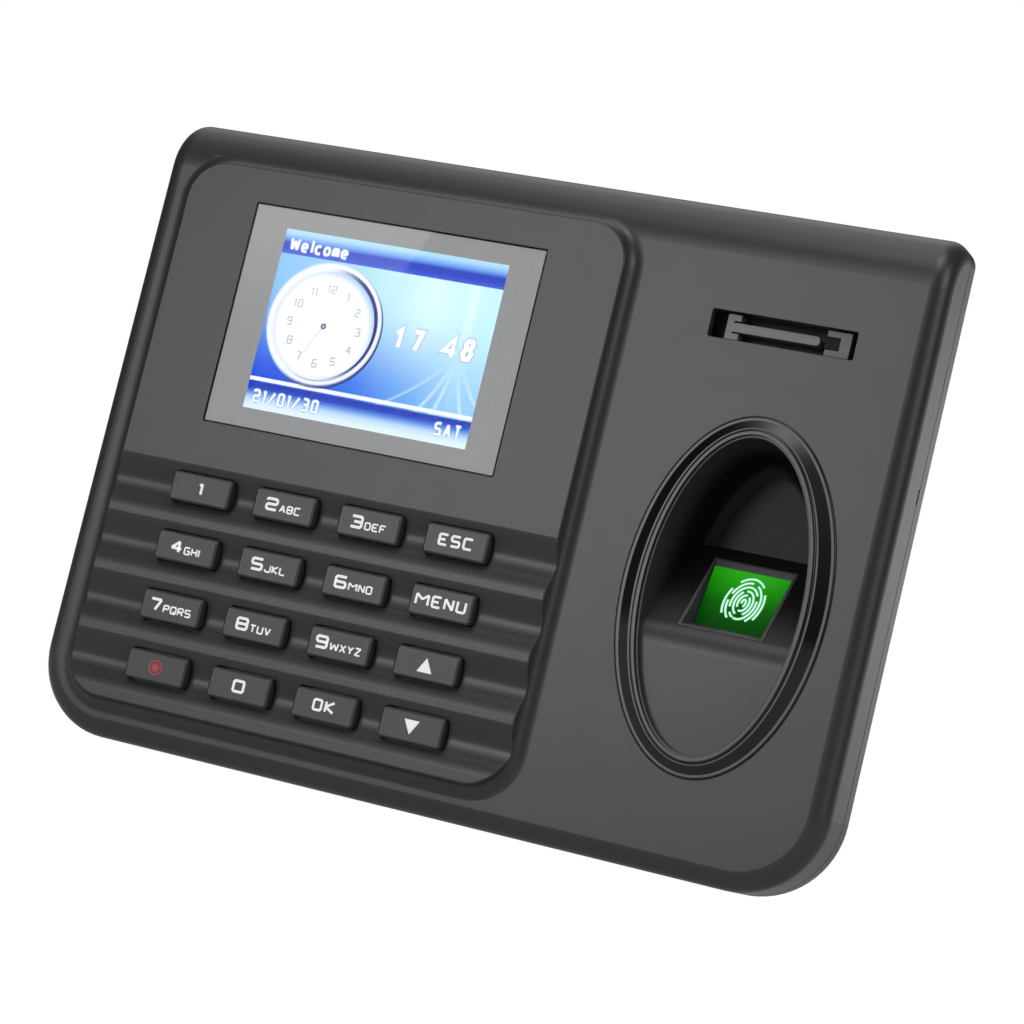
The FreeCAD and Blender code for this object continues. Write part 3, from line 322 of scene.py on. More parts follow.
def moulding(name, colour, roughness, grain=0.22, depth=0.004, mottle=0.03, edge=0.18, dust=0.0, shine=0.5):
    """Moulded plastic: fine grain, faint clouds of colour and gloss, rounded edges, some dust."""
    made = Surface(name)
    fine = made.noise(grain * MM, 3.0)
    clouds = made.noise(14 * MM, 4.0)
    dark = tuple(c * (1 - mottle) for c in colour[:3]) + (1.0,)
    light = tuple(c * (1 + mottle) for c in colour[:3]) + (1.0,)
    shade = made.mix(made.ramp(clouds, 0.3, 0.7, 0.0, 1.0), dark, light)
    if dust:
        specks = made.ramp(made.noise(0.45 * MM, 0.0), 0.83, 0.86, 0.0, dust)
        shade = made.mix(specks, shade, (0.35, 0.35, 0.35, 1.0))
    rough = made.ramp(made.noise(5 * MM, 3.0), 0.25, 0.75, roughness - 0.006, roughness + 0.006)
    made.set(Base_Color=shade, Roughness=rough, Specular_IOR_Level=shine)
    made.relief(fine, depth * MM, edge * MM)
    return made


def plastic(*values, **settings):
    return moulding(*values, **settings).material


def well_plastic():
    """Finger well: like the case at its rim, with painted shade that makes it darker and duller with depth.
    """
    made = moulding("well_plastic", CASE_GREY, CASE_ROUGHNESS)
    # Painted shade: the base colour darkens and the reflection weakens towards the back of the well
    depth_shade = made.ramp(made.axes()[1], WELL_SHADE[0] * MM, WELL_SHADE[1] * MM, 0.0, 1.0)
    shade = made.shader.inputs["Base Color"].links[0].from_socket
    made.set(Base_Color=made.mix(made.math("MULTIPLY", depth_shade, 0.7), shade, (0.002, 0.002, 0.002, 1)))
    made.set(Specular_IOR_Level=made.ramp(depth_shade, 0.0, 1.0, 0.5, 0.14))
    return made.material


def gloss_black():
    """Polished ring: slight orange peel, faint dust."""
    made = Surface("gloss_black")
    peel = made.noise(2.2 * MM, 1.0)
    specks = made.ramp(made.noise(0.4 * MM, 0.0), 0.84, 0.86, 0.0, 0.15)
    made.set(Base_Color=made.mix(specks, (0.008, 0.008, 0.009, 1), (0.2, 0.2, 0.2, 1)))
    made.set(Roughness=made.ramp(made.noise(8 * MM, 3.0), 0.3, 0.7, 0.07, 0.12))
    made.relief(peel, 0.01 * MM, 0.1 * MM)
    return made.material


def clear_window():
    """Clear lens: mostly open, with a weak polished reflection, plus a painted reflection, self-lit and
    seen only by the camera, left of a slanting edge.
    """
    made = Surface("window_glass")
    low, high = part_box("display_window")
    x, _, z = made.axes()
    (x0, z0), (x1, z1) = PAINTED_REFLECTION_EDGE
    middle_x, middle_z = (low[0] + high[0]) / 2, (low[2] + high[2]) / 2
    slant = (x1 - x0) / (z1 - z0)
    edge = made.math("SUBTRACT", x, made.math("MULTIPLY", z, slant))
    start = middle_x + x0 * MM - (middle_z + z0 * MM) * slant
    left = made.ramp(edge, start - 0.2 * MM, start + 0.2 * MM, 1.0, 0.0)
    painted_sheen = made.math("MULTIPLY", left, made.ramp(z, middle_z - 8 * MM, high[2], 0.0, 1.0))
    smear = made.ramp(made.noise(9 * MM, 4.0, (1.0, 1.0, 0.4)), 0.45, 0.8, 0.015, 0.05)
    gloss = made.add("BsdfGlossy", {"Roughness": smear, "Color": (1, 1, 1, 1)}).outputs[0]
    clear = made.add("BsdfTransparent", {"Color": (0.97, 0.975, 0.98, 1)}).outputs[0]
    fresnel = made.add("Fresnel", {"IOR": 1.45}).outputs[0]
    share = made.math("MULTIPLY", fresnel, 0.12)
    lens = made.add("MixShader", {0: share, 1: clear, 2: gloss}).outputs[0]
    seen = made.add("LightPath").outputs["Is Camera Ray"]
    # Painted reflection: white emission left of the slanting edge, fading downwards, on the front face and
    # for camera rays only
    front = made.math("SUBTRACT", 1.0, made.add("NewGeometry").outputs["Backfacing"])
    bright = made.math("MULTIPLY", made.math("MULTIPLY", painted_sheen, PAINTED_REFLECTION_LIFT), seen)
    bright = made.math("MULTIPLY", bright, front)
    painted_reflection_light = made.add("Emission", {"Color": (1, 1, 1, 1), "Strength": bright}).outputs[0]
    made.surface(made.add("AddShader", {0: lens, 1: painted_reflection_light}).outputs[0])
    return made.material


def mask_ink():
    """Silver-grey print behind the lens, with a fine metallic fleck."""
    made = Surface("mask_ink")
    fleck = made.noise(0.12 * MM, 2.0)
    made.set(Base_Color=made.mix(fleck, (0.46, 0.46, 0.465, 1), (0.54, 0.54, 0.545, 1)), Roughness=0.5)
    made.relief(fleck, 0.002 * MM)
    return made.material


def shown(name, colour_of):
    """Self-lit picture element; colour_of(nodes, x, z) gives its colour in millimetre coordinates."""
    made = Surface(name)
    axes = made.axes()
    x = made.math("SUBTRACT", made.math("DIVIDE", axes[0], MM), screen_x / MM)
    z = made.math("SUBTRACT", made.math("DIVIDE", axes[2], MM), screen_z / MM)
    colour = colour_of(made, x, z)
    grid = made.noise(0.15 * MM, 0.0)
    colour = made.mix(made.ramp(grid, 0.3, 0.7, 0.0, 0.05), colour, (0.0, 0.0, 0.0, 1.0))
    made.surface(made.add("Emission", {"Color": colour, "Strength": PICTURE_GLOW}).outputs[0])
    return made.material


def lit_plastic(name, colour, glow):
    """Ink or moulding with a painted glow that makes it brighter than its lighting gives."""
    made = Surface(name)
    worn = made.noise(0.6 * MM, 3.0)
    shade = made.mix(made.ramp(worn, 0.35, 0.7, 0.0, 0.18), colour, (0.3, 0.3, 0.3, 1))
    # Painted glow: the emission lifts the ink's brightness
    made.set(Base_Color=shade, Roughness=0.5, Emission_Color=colour, Emission_Strength=glow)
    made.relief(made.noise(0.08 * MM), 0.002 * MM)
    return made.material


def glowing(name, grain, dim, bright):
    """Self-lit film with faint clouds."""
    made = Surface(name)
    colour = made.mix(made.noise(grain * MM), dim, bright)
    made.surface(made.add("Emission", {"Color": colour, "Strength": 1.0}).outputs[0])
    return made.material


def metal(name, colour, roughness, stretch=(1.0, 1.0, 1.0), grain=0.15):
    """Bare or plated metal with fine drawn marks."""
    made = Surface(name)
    marks = made.noise(grain * MM, 4.0, stretch)
    dull = tuple(c * 0.8 for c in colour[:3]) + (1.0,)
    made.set(Base_Color=made.mix(marks, dull, colour), Metallic=1.0)
    made.set(Roughness=made.ramp(marks, 0.2, 0.8, roughness - 0.08, roughness + 0.08))
    made.relief(marks, 0.003 * MM, 0.1 * MM)
    return made.material


def circuit_board(name, mask, track):
    """Solder mask over copper tracks, with small pads."""
    made = Surface(name)
    cells = made.add("TexVoronoi", {"Vector": made.place, "Scale": 1 / (3.2 * MM)},
                     feature="DISTANCE_TO_EDGE", distance="MANHATTAN").outputs["Distance"]
    tracks = made.ramp(cells, 0.04, 0.07, 1.0, 0.0)
    pads = made.add("TexVoronoi", {"Vector": made.place, "Scale": 1 / (1.9 * MM)}).outputs["Distance"]
    pads = made.ramp(pads, 0.10, 0.13, 1.0, 0.0)
    shade = made.mix(tracks, mask, track)
    made.set(Base_Color=made.mix(pads, shade, (0.55, 0.52, 0.40, 1)))
    made.set(Roughness=made.ramp(pads, 0.0, 1.0, 0.35, 0.25))
    made.relief(tracks, 0.03 * MM, 0.1 * MM)
    return made.material


def glass(name, colour, roughness=0.05):
    """Coated optical glass or display glass."""
    made = Surface(name)
    film = made.noise(6 * MM, 2.0)
    tint = tuple(c * 0.7 for c in colour[:3]) + (1.0,)
    made.set(Base_Color=made.mix(film, tint, colour), Transmission_Weight=0.6, IOR=1.5)
    made.set(Roughness=made.ramp(film, 0.3, 0.7, roughness, roughness + 0.04))
    return made.material


def sensor_glass():
    """Finger plate lit green from below: bright at its upper edge, deeper further down."""
    made = Surface("sensor_glass")
    low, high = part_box("sensor_glass")
    x, _, z = made.axes()
    up = made.ramp(z, low[2], high[2], 0.0, 1.0)
    glow = made.tones(up, [
        (0.0, tone(2, 58, 2)), (0.45, tone(8, 96, 4)), (0.85, tone(24, 146, 8)), (1.0, tone(40, 165, 20)),
    ])
    middle = (low[0] + high[0]) / 2
    across = made.math("ABSOLUTE", made.math("SUBTRACT", x, middle))
    dim = made.ramp(across, 2 * MM, 9 * MM, 0.0, 0.35)
    glow = made.mix(dim, glow, (0.0, 0.02, 0.0, 1.0))
    film = made.noise(3 * MM, 3.0)
    made.set(Base_Color=(0.004, 0.03, 0.004, 1), Roughness=made.ramp(film, 0.3, 0.7, 0.06, 0.14))
    seen = made.add("LightPath").outputs["Is Camera Ray"]
    made.set(Emission_Color=glow, Emission_Strength=made.ramp(seen, 0.0, 1.0, 0.15, 0.95))
    made.set(Specular_IOR_Level=0.08)
    return made.material


def foam():
    """Black foam with open cells."""
    made = Surface("foam_rubber")
    cells = made.add("TexVoronoi", {"Vector": made.place, "Scale": 1 / (0.4 * MM)}).outputs["Distance"]
    made.set(Base_Color=made.mix(cells, (0.01, 0.01, 0.01, 1), (0.05, 0.05, 0.05, 1)), Roughness=0.95)
    made.relief(cells, 0.1 * MM)
    return made.material


def label_film():
    """Satin silver film with fine brushed lines."""
    made = Surface("label_film")
    lines = made.noise(0.3 * MM, 3.0, (0.03, 1.0, 1.0))
    made.set(Base_Color=made.mix(lines, (0.42, 0.43, 0.44, 1), (0.55, 0.56, 0.57, 1)), Metallic=0.4)
    made.set(Roughness=made.ramp(lines, 0.2, 0.8, 0.35, 0.5))
    made.relief(lines, 0.002 * MM)
    return made.material


def build_materials():
    """One material for each slot of the record."""
    return {
        "case_plastic": plastic("case_plastic", CASE_GREY, CASE_ROUGHNESS, dust=0.05),
        "well_plastic": well_plastic(),
        "key_plastic": plastic("key_plastic", CASE_GREY, KEY_ROUGHNESS, edge=0.12, dust=0.05),
        "housing_plastic": plastic("housing_plastic", (0.10, 0.10, 0.105, 1), 0.40),
        "guide_plastic": plastic("guide_plastic", (0.17, 0.175, 0.175, 1), 0.30),
        "clip_plastic": plastic("clip_plastic", (0.15, 0.15, 0.152, 1), 0.35),
        "connector_dark": plastic("connector_dark", (0.014, 0.014, 0.014, 1), 0.6, shine=0.25),
        "connector_plastic": plastic("connector_plastic", (0.75, 0.72, 0.62, 1), 0.45),
        "chip_resin": plastic("chip_resin", (0.02, 0.02, 0.022, 1), 0.55, grain=0.1),
        "lens_barrel": plastic("lens_barrel", (0.01, 0.01, 0.01, 1), 0.6),
        "silicone": plastic("silicone", (0.06, 0.06, 0.062, 1), 0.7, depth=0.008),
        "cable_sleeve": plastic("cable_sleeve", (0.03, 0.03, 0.032, 1), 0.6),
        "dark_tape": plastic("dark_tape", (0.012, 0.012, 0.012, 1), 0.8),
        "light_sheet": plastic("light_sheet", (0.85, 0.87, 0.9, 1), 0.5),
        "flex_film": plastic("flex_film", (0.50, 0.20, 0.03, 1), 0.3),
        "led_resin": plastic("led_resin", (0.75, 0.78, 0.65, 1), 0.2),
        "gloss_black": gloss_black(),
        "window_glass": clear_window(),
        "lcd_glass": glass("lcd_glass", (0.10, 0.16, 0.30, 1)),
        "prism_glass": glass("prism_glass", (0.5, 0.7, 0.55, 1)),
        "sensor_glass": sensor_glass(),
        "foam_rubber": foam(),
        "label_film": label_film(),
        "circuit_board": circuit_board("circuit_board", (0.01, 0.10, 0.03, 1), (0.03, 0.20, 0.06, 1)),
        "dark_board": plastic("dark_board", (0.022, 0.023, 0.023, 1), 0.5, grain=0.4),
        "steel_tray": metal("steel_tray", (0.55, 0.55, 0.57, 1), 0.35, (0.05, 1.0, 1.0)),
        "can_metal": metal("can_metal", (0.7, 0.7, 0.72, 1), 0.3),
        "cell_steel": metal("cell_steel", (0.62, 0.62, 0.63, 1), 0.28),
        "port_steel": metal("port_steel", (0.6, 0.6, 0.61, 1), 0.3, (0.1, 1.0, 1.0)),
        "screw_steel": metal("screw_steel", (0.5, 0.5, 0.52, 1), 0.33),
        "speaker_metal": plastic("speaker_metal", (0.02, 0.02, 0.02, 1), 0.35),
    }


def dress_frame(materials):
    """Give each CAD node the material of its record slot."""
    for part in frame["record"]["subparts"]:
        node = frame["nodes"][part["node"]]
        if not node.material_slots:
            node.data.materials.append(None)
        for place in node.material_slots:
            place.material = materials[part["material_slot"]]


# ---------------------------------------------------------------- thin solids

def ribbon_sides(points, width):
    """Left and right side of a stroke with mitred corners, and whether it is closed."""
    closed = points[0] == points[-1]
    path = [Vector(p) for p in (points[:-1] if closed else points)]
    count = len(path)
    left, right = [], []
    for i, here in enumerate(path):
        before = path[i - 1] if closed or i > 0 else None
        after = path[(i + 1) % count] if closed or i < count - 1 else None
        ways = []
        if before is not None:
            ways.append((here - before).normalized())
        if after is not None:
            ways.append((after - here).normalized())
        sides = [Vector((-way.y, way.x)) for way in ways]
        side = sum(sides, Vector((0, 0))).normalized()
        reach = width / 2 / max(side.dot(sides[0]), 0.5)
        left.append(here + side * reach)
        right.append(here - side * reach)
    return left, right, closed


def soften(points, cut):
    """Path with each corner replaced by a short slant."""
    closed = points[0] == points[-1]
    path = [Vector(p) for p in points]
    last = len(path) - 1
    result = []
    for i in range(last if closed else last + 1):
        here = path[i]
        if not closed and i in (0, last):
            result.append(tuple(here))
            continue
        back = path[i - 1 if i else last - 1] - here
        ahead = path[i + 1] - here
        reach = min(cut, 0.4 * back.length, 0.4 * ahead.length)
        result.append(tuple(here + back.normalized() * reach))
        result.append(tuple(here + ahead.normalized() * reach))
    return result + result[:1] if closed else result


class Sheet:
    """Thin solids on a plane: place(u, v, height) gives the point for millimetre coordinates."""

    def __init__(self, place):
        self.mesh = bmesh.new()
        self.place = place

    def strip(self, left, right, closed, back, front):
        """Solid band between two rows of points."""
        rows = []
        for height in (back, front):
            for side in (left, right):
                rows.append([self.mesh.verts.new(self.place(p[0], p[1], height)) for p in side])
        back_left, back_right, front_left, front_right = rows
        count = len(left)
        for i in range(count if closed else count - 1):
            j = (i + 1) % count
            for a, b in ((front_left, front_right), (front_right, back_right),
                         (back_right, back_left), (back_left, front_left)):
                self.mesh.faces.new((a[i], b[i], b[j], a[j]))
        if not closed:
            for i in (0, -1):
                self.mesh.faces.new((front_left[i], back_left[i], back_right[i], front_right[i]))

    def patch(self, outline, back, front):
        """Solid plate inside an outline."""
        rows = []
        for height in (back, front):
            rows.append([self.mesh.verts.new(self.place(p[0], p[1], height)) for p in outline])
        self.mesh.faces.new(rows[1])
        self.mesh.faces.new(rows[0][::-1])
        for i in range(len(outline)):
            self.mesh.faces.new((rows[0][i - 1], rows[0][i], rows[1][i], rows[1][i - 1]))

    def stroke(self, points, width, back, front):
        left, right, closed = ribbon_sides(points, width)
        self.strip(left, right, closed, back, front)

    def ring(self, centre, outer, inner, back, front, steps=96):
        """Band between two ellipses given as (half width, half height)."""
        rows = [ellipse(centre, half, steps) for half in (outer, inner)]
        self.strip(rows[0], rows[1], True, back, front)

    def text(self, words, x, z, height, width, stroke, front, gap, back):
        """Row of stroke letters; x is its left edge and z its foot. Returns its right edge."""
        step = front * STROKE_STEP
        for letter in words:
            paths = [[(int(p[0]), int(p[1])) for p in path.split()] for path in GLYPHS[letter]]
            columns = [p[0] for path in paths for p in path]
            start = min(columns)
            for number, path in enumerate(paths):
                points = []
                for column, row in path:
                    u = x + stroke / 2 + (column - start) * width / 4
                    v = z + stroke / 2 + row * height / 6
                    points.append((u, v))
                self.stroke(soften(points, stroke * CORNER_CUT), stroke, back, front + number * step)
            x += (max(columns) - start) * width / 4 + stroke + gap
        return x - gap

    def finish(self, name, material, body):
        bmesh.ops.recalc_face_normals(self.mesh, faces=self.mesh.faces)
        data = bpy.data.meshes.new(name)
        self.mesh.to_mesh(data)
        self.mesh.free()
        data.materials.append(material)
        piece = bpy.data.objects.new(name, data)
        bpy.context.scene.collection.objects.link(piece)
        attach(piece, body)
        return piece


def ellipse(centre, half, steps=96):
    """Points on an ellipse of the given half width and half height."""
    points = []
    for i in range(steps):
        turn = 2 * math.pi * i / steps
        points.append((centre[0] + half[0] * math.cos(turn), centre[1] + half[1] * math.sin(turn)))
    return points


def rectangle(x0, x1, z0, z1):
    """Corners, counter-clockwise."""
    return [(x0, z0), (x1, z0), (x1, z1), (x0, z1)]


def text_width(words, width, stroke, gap):
    """Length of a row of letters."""
    total = -gap
    for letter in words:
        columns = [int(p[0]) for path in GLYPHS[letter] for p in path.split()]
        total += (max(columns) - min(columns)) * width / 4 + stroke + gap
    return total


# ---------------------------------------------------------------- display

window_low, window_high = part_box("display_window")
lens_x = (window_low[0] + window_high[0]) / 2
lens_z = (window_low[2] + window_high[2]) / 2
# The picture lies behind the lens, so it is shifted along the camera's line of sight.
picture_y = window_high[1] + PICTURE_DEPTH * MM
screen_x = lens_x - (picture_y - window_low[1]) * math.tan(CAMERA_YAW)
screen_z = lens_z + (picture_y - window_low[1]) * math.tan(CAMERA_PITCH) / math.cos(CAMERA_YAW)


def behind_lens(u, v, height):
    """Point of the shown picture."""
    return Vector((screen_x + u * MM, picture_y - height * MM, screen_z + v * MM))


def in_lens(u, v, height):
    """Point of the print inside the lens."""
    return Vector((lens_x + u * MM, window_low[1] + (MASK_DEPTH - height) * MM, lens_z + v * MM))


def picture(name, draw, colour_of, layer):
    """One piece of the display picture at the given layer."""
    sheet = Sheet(behind_lens)
    back = layer * LAYER
    draw(sheet, back, back + LAYER * LAYER_FILL)
    return sheet.finish(name, shown(name, colour_of), "terminal")


def body_colour(made, x, z):
    """Blue field, pale towards the right, with fine rays falling from a bright column."""
    across = made.ramp(x, -24, 25, 0.0, 1.0)
    up = made.ramp(z, -13, 9, 0.0, 1.0)
    low = made.tones(across, [
        (0.0, tone(22, 76, 222)), (0.45, tone(46, 116, 232)),
        (0.8, tone(105, 170, 240)), (1.0, tone(150, 205, 248)),
    ])
    high = made.tones(across, [
        (0.0, tone(135, 195, 250)), (0.45, tone(185, 230, 252)),
        (0.8, tone(222, 252, 255)), (1.0, tone(200, 244, 255)),
    ])
    colour = made.mix(up, low, high)
    column = made.math("ABSOLUTE", made.math("SUBTRACT", x, COLUMN_X))
    shine = made.math("MULTIPLY", made.ramp(column, 0.3, 1.6, 0.75, 0.0), made.ramp(z, -3, 14, 0.15, 1.0))
    drop = made.math("MAXIMUM", made.math("SUBTRACT", RAY_TOP[1], z), 0.0)
    for bend, light in RAYS:
        path = made.math("MULTIPLY", made.math("MULTIPLY", drop, drop), bend)
        off = made.math("SUBTRACT", made.math("SUBTRACT", x, RAY_TOP[0]), path)
        line = made.ramp(made.math("ABSOLUTE", off), 0.1, 0.7, light, 0.0)
        line = made.math("MULTIPLY", line, made.ramp(z, -12, 3, 1.0, 0.0))
        shine = made.math("MAXIMUM", shine, line)
    return made.mix(shine, colour, tone(235, 252, 255))


def top_bar_colour(made, x, z):
    share = made.ramp(z, TOP_BAR[0], TOP_BAR[1], 0.0, 1.0)
    return made.tones(share, [
        (0.0, tone(56, 92, 212)), (0.12, tone(36, 66, 196)), (0.42, tone(30, 62, 188)),
        (0.62, tone(92, 142, 230)), (0.85, tone(144, 194, 243)), (1.0, tone(180, 224, 248)),
    ])


def bottom_bar_colour(made, x, z):
    share = made.ramp(z, BOTTOM_BAR[0], BOTTOM_BAR[1], 0.0, 1.0)
    return made.tones(share, [
        (0.0, tone(226, 244, 255)), (0.35, tone(186, 216, 248)), (0.65, tone(96, 146, 226)),
        (0.85, tone(34, 78, 200)), (1.0, tone(20, 50, 170)),
    ])


def radial(made, x, z, centre):
    """Distance from a centre."""
    across = made.math("SUBTRACT", x, centre[0])
    along = made.math("SUBTRACT", z, centre[1])
    square = made.math("ADD", made.math("MULTIPLY", across, across), made.math("MULTIPLY", along, along))
    return made.math("SQRT", square)


def toward_lower_right(made, x, z, low, high, rise):
    """0 to 1 across the clock, growing to the right and, by rise, upward."""
    across = made.math("SUBTRACT", x, CLOCK[0])
    along = made.math("MULTIPLY", made.math("SUBTRACT", z, CLOCK[1]), rise)
    return made.ramp(made.math("ADD", across, along), low, high, 0.0, 1.0)


def rim_colour(made, x, z):
    """Silver rim: white crest, blue-grey flanks, dark outer edge at the bottom right."""
    share = made.math("DIVIDE", made.math("SUBTRACT", radial(made, x, z, CLOCK), DIAL_R), CLOCK_W - DIAL_R)
    colour = made.tones(share, [
        (0.0, tone(150, 165, 220)), (0.22, tone(236, 240, 252)), (0.6, tone(255, 255, 255)),
        (0.85, tone(224, 234, 252)), (1.0, tone(178, 208, 246)),
    ])
    dark = made.tones(share, [
        (0.0, tone(60, 70, 140)), (0.2, tone(210, 216, 240)), (0.38, tone(150, 160, 212)),
        (0.46, tone(244, 247, 255)), (0.78, tone(235, 240, 252)), (1.0, tone(92, 106, 160)),
    ])
    return made.mix(toward_lower_right(made, x, z, -2, 9, -0.7), colour, dark)


def shade_colour(made, x, z):
    """Shadow that the clock casts on the field, dark only below and to the right."""
    return made.mix(toward_lower_right(made, x, z, 0, 9, -0.9), tone(110, 165, 240), tone(26, 40, 118))


def arc_colour(made, x, z):
    """Dark arc inside the rim: navy to the right, fading to pale grey on the left."""
    return made.mix(toward_lower_right(made, x, z, -1, 8, 0.1), tone(238, 242, 252), tone(44, 54, 118))


def dial_colour(made, x, z):
    """White dial with a faint blue shade along its upper right edge."""
    share = made.math("DIVIDE", radial(made, x, z, DIAL), DIAL_R)
    centre = (0.0, tone(255, 255, 255))
    white = made.tones(share, [centre, (0.9, tone(250, 252, 255)), (1.0, tone(224, 230, 248))])
    shade = made.tones(share, [centre, (0.85, tone(246, 250, 255)), (1.0, tone(160, 200, 244))])
    return made.mix(toward_lower_right(made, x, z, 3, 15, 0.8), white, shade)


def plain(red, green, blue):
    """Even tone with a faint vertical change."""
    def colour_of(made, x, z):
        share = made.ramp(z, -18, 18, 0.0, 0.12)
        return made.mix(share, tone(red, green, blue), tone(255, 255, 255))
    return colour_of


def numerals(sheet, back, front):
    """Hours 1 to 12 around the dial."""
    for hour in range(1, 13):
        turn = math.radians(90 - 30 * hour)
        words = str(hour)
        wide = text_width(words, NUMERAL_W, NUMERAL_STROKE, NUMERAL_GAP)
        x = DIAL[0] + NUMERAL_R * math.cos(turn) - wide / 2
        z = DIAL[1] + NUMERAL_R * math.sin(turn) - NUMERAL_DROP
        sheet.text(words, x, z, NUMERAL_H, NUMERAL_W, NUMERAL_STROKE, front, NUMERAL_GAP, back)


def hand(sheet, back, front):
    """Thin hand that narrows to its tip."""
    length = math.hypot(*HAND_TIP)
    side = (-HAND_TIP[1] / length * HAND_W / 2, HAND_TIP[0] / length * HAND_W / 2)
    tip = (DIAL[0] + HAND_TIP[0], DIAL[1] + HAND_TIP[1])
    tail = (DIAL[0] - HAND_TIP[0] * HAND_TAIL, DIAL[1] - HAND_TIP[1] * HAND_TAIL)
    thin = (side[0] * HAND_POINT, side[1] * HAND_POINT)
    sheet.patch([(tail[0] + side[0], tail[1] + side[1]), (tail[0] - side[0], tail[1] - side[1]),
                 (tip[0] - thin[0], tip[1] - thin[1]), (tip[0] + thin[0], tip[1] + thin[1])], back, front)


def hub(sheet, back, front):
    """Small ring at the hand's pivot."""
    sheet.ring(DIAL, (HUB_R, HUB_R), (HUB_HOLE_R, HUB_HOLE_R), back, front, 32)


def disc(centre, half):
    """Filled ellipse of the given half width and half height."""
    return lambda sheet, back, front: sheet.patch(ellipse(centre, half), back, front)


def block(x0, x1, z0, z1):
    """Filled rectangle."""
    return lambda sheet, back, front: sheet.patch(rectangle(x0, x1, z0, z1), back, front)


def big_digits(stroke):
    """Hours and minutes, drawn with the given stroke."""
    def draw(sheet, back, front):
        for digit, x in TIME_DIGITS:
            for number, path in enumerate(BOLD_PATHS[digit]):
                points = [(x + u, TIME_FOOT + v) for u, v in path]
                sheet.stroke(points, stroke, back, front + number * LAYER * 0.1)
    return draw


def captions(stroke):
    """Greeting, date and weekday, drawn with the given stroke."""
    def draw(sheet, back, front):
        grow = (stroke - CAPTION_STROKE) / 2
        for words, x, z, gap in CAPTIONS:
            sheet.text(words, x - grow, z - grow, CAPTION_H, CAPTION_W, stroke, front, gap - 2 * grow, back)
    return draw


# Discs of the clock from back to front: shift from its centre, half sizes, colour, layer
CLOCK_DISCS = [
    ("clock_shade", (0.22, -0.28), (CLOCK_W, CLOCK_H), shade_colour, 1),
    ("clock_rim", (0.0, 0.0), (CLOCK_W, CLOCK_H), rim_colour, 2),
    ("clock_arc", (0.1, 0.08), (ARC_R, ARC_R), arc_colour, 3),
    ("clock_dial", (-0.1, -0.15), (DIAL_R, DIAL_R), dial_colour, 4),
]


def build_display():
    """Mask, picture and writing behind the lens."""
    left = PICTURE_CENTRE[0] - PICTURE_W / 2
    right = PICTURE_CENTRE[0] + PICTURE_W / 2
    low = PICTURE_CENTRE[1] - PICTURE_H / 2
    high = PICTURE_CENTRE[1] + PICTURE_H / 2
    mask = Sheet(in_lens)
    half_w = (window_high[0] - window_low[0]) / MM / 2 - MASK_GAP
    half_h = (window_high[2] - window_low[2]) / MM / 2 - MASK_GAP
    outer = rectangle(-half_w, half_w, -half_h, half_h)
    mask.strip(outer, rectangle(left, right, low, high), True, 0.0, LAYER)
    mask.finish("window_mask", mask_ink(), "terminal")

    left, right, low, high = left - OVERLAP, right + OVERLAP, low - OVERLAP, high + OVERLAP
    picture("picture_field", block(left, right, low, high), body_colour, 0)
    picture("picture_top_bar", block(left, right, TOP_BAR[0], high), top_bar_colour, 1)
    picture("picture_bottom_bar", block(left, right, low, BOTTOM_BAR[1]), bottom_bar_colour, 1)
    picture("picture_line", block(left, right, *WHITE_LINE), plain(248, 252, 255), 1)
    for name, shift, half, colour_of, layer in CLOCK_DISCS:
        centre = (CLOCK[0] + shift[0], CLOCK[1] + shift[1])
        picture(name, disc(centre, half), colour_of, layer)
    picture("clock_numerals", numerals, plain(172, 175, 194), 5)
    picture("clock_hand", hand, plain(196, 198, 214), 5)
    picture("clock_hub", hub, plain(110, 84, 120), 6)
    picture("time_outline", big_digits(TIME_STROKE + OUTLINE), plain(120, 145, 215), 5)
    picture("time_digits", big_digits(TIME_STROKE), plain(252, 254, 255), 6)
    picture("caption_outline", captions(CAPTION_STROKE + OUTLINE), plain(110, 150, 220), 5)
    picture("caption_letters", captions(CAPTION_STROKE), plain(244, 250, 255), 6)


# ---------------------------------------------------------------- key legends

def build_legends():
    """Printed legends, one piece on each key."""
    white = lit_plastic("legend_white", tone(240, 241, 242), 0.35)
    red = lit_plastic("legend_red", tone(205, 60, 50), 0.05)
    for name in [n for n in frame["nodes"] if n.startswith("key_")]:
        low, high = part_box(name)
        middle = Vector(((low[0] + high[0]) / 2, low[1], (low[2] + high[2]) / 2))

        def on_key(u, v, height, at=middle):
            return at + Vector((u, -height, v)) * MM

        sheet = Sheet(on_key)
        back = -INK_T
        if name in KEY_LEGENDS:
            draw_number(sheet, *KEY_LEGENDS[name], back)
        elif name in KEY_WORDS:
            words = KEY_WORDS[name]
            wide = text_width(words, WORD_W, WORD_STROKE, WORD_GAP)
            foot = -WORD_H / 2 - WORD_STROKE / 2 + WORD_RISE
            sheet.text(words, -wide / 2, foot, WORD_H, WORD_W, WORD_STROKE, INK_T, WORD_GAP, back)
        elif name == "key_power":
            outer, inner = ((radius, radius) for radius in POWER_RING)
            sheet.ring((0, 0), outer, inner, back, INK_T, 48)
            sheet.patch(ellipse((0, 0), (POWER_DOT, POWER_DOT), 32), back, INK_T)
        else:
            tip = ARROW_H / 2 if name == "key_up" else -ARROW_H / 2
            sheet.patch([(-ARROW_W / 2, -tip), (ARROW_W / 2, -tip), (0, tip)], back, INK_T)
        ink = red if name == "key_power" else white
        sheet.finish(name.replace("key", "legend"), ink, name + "_body")


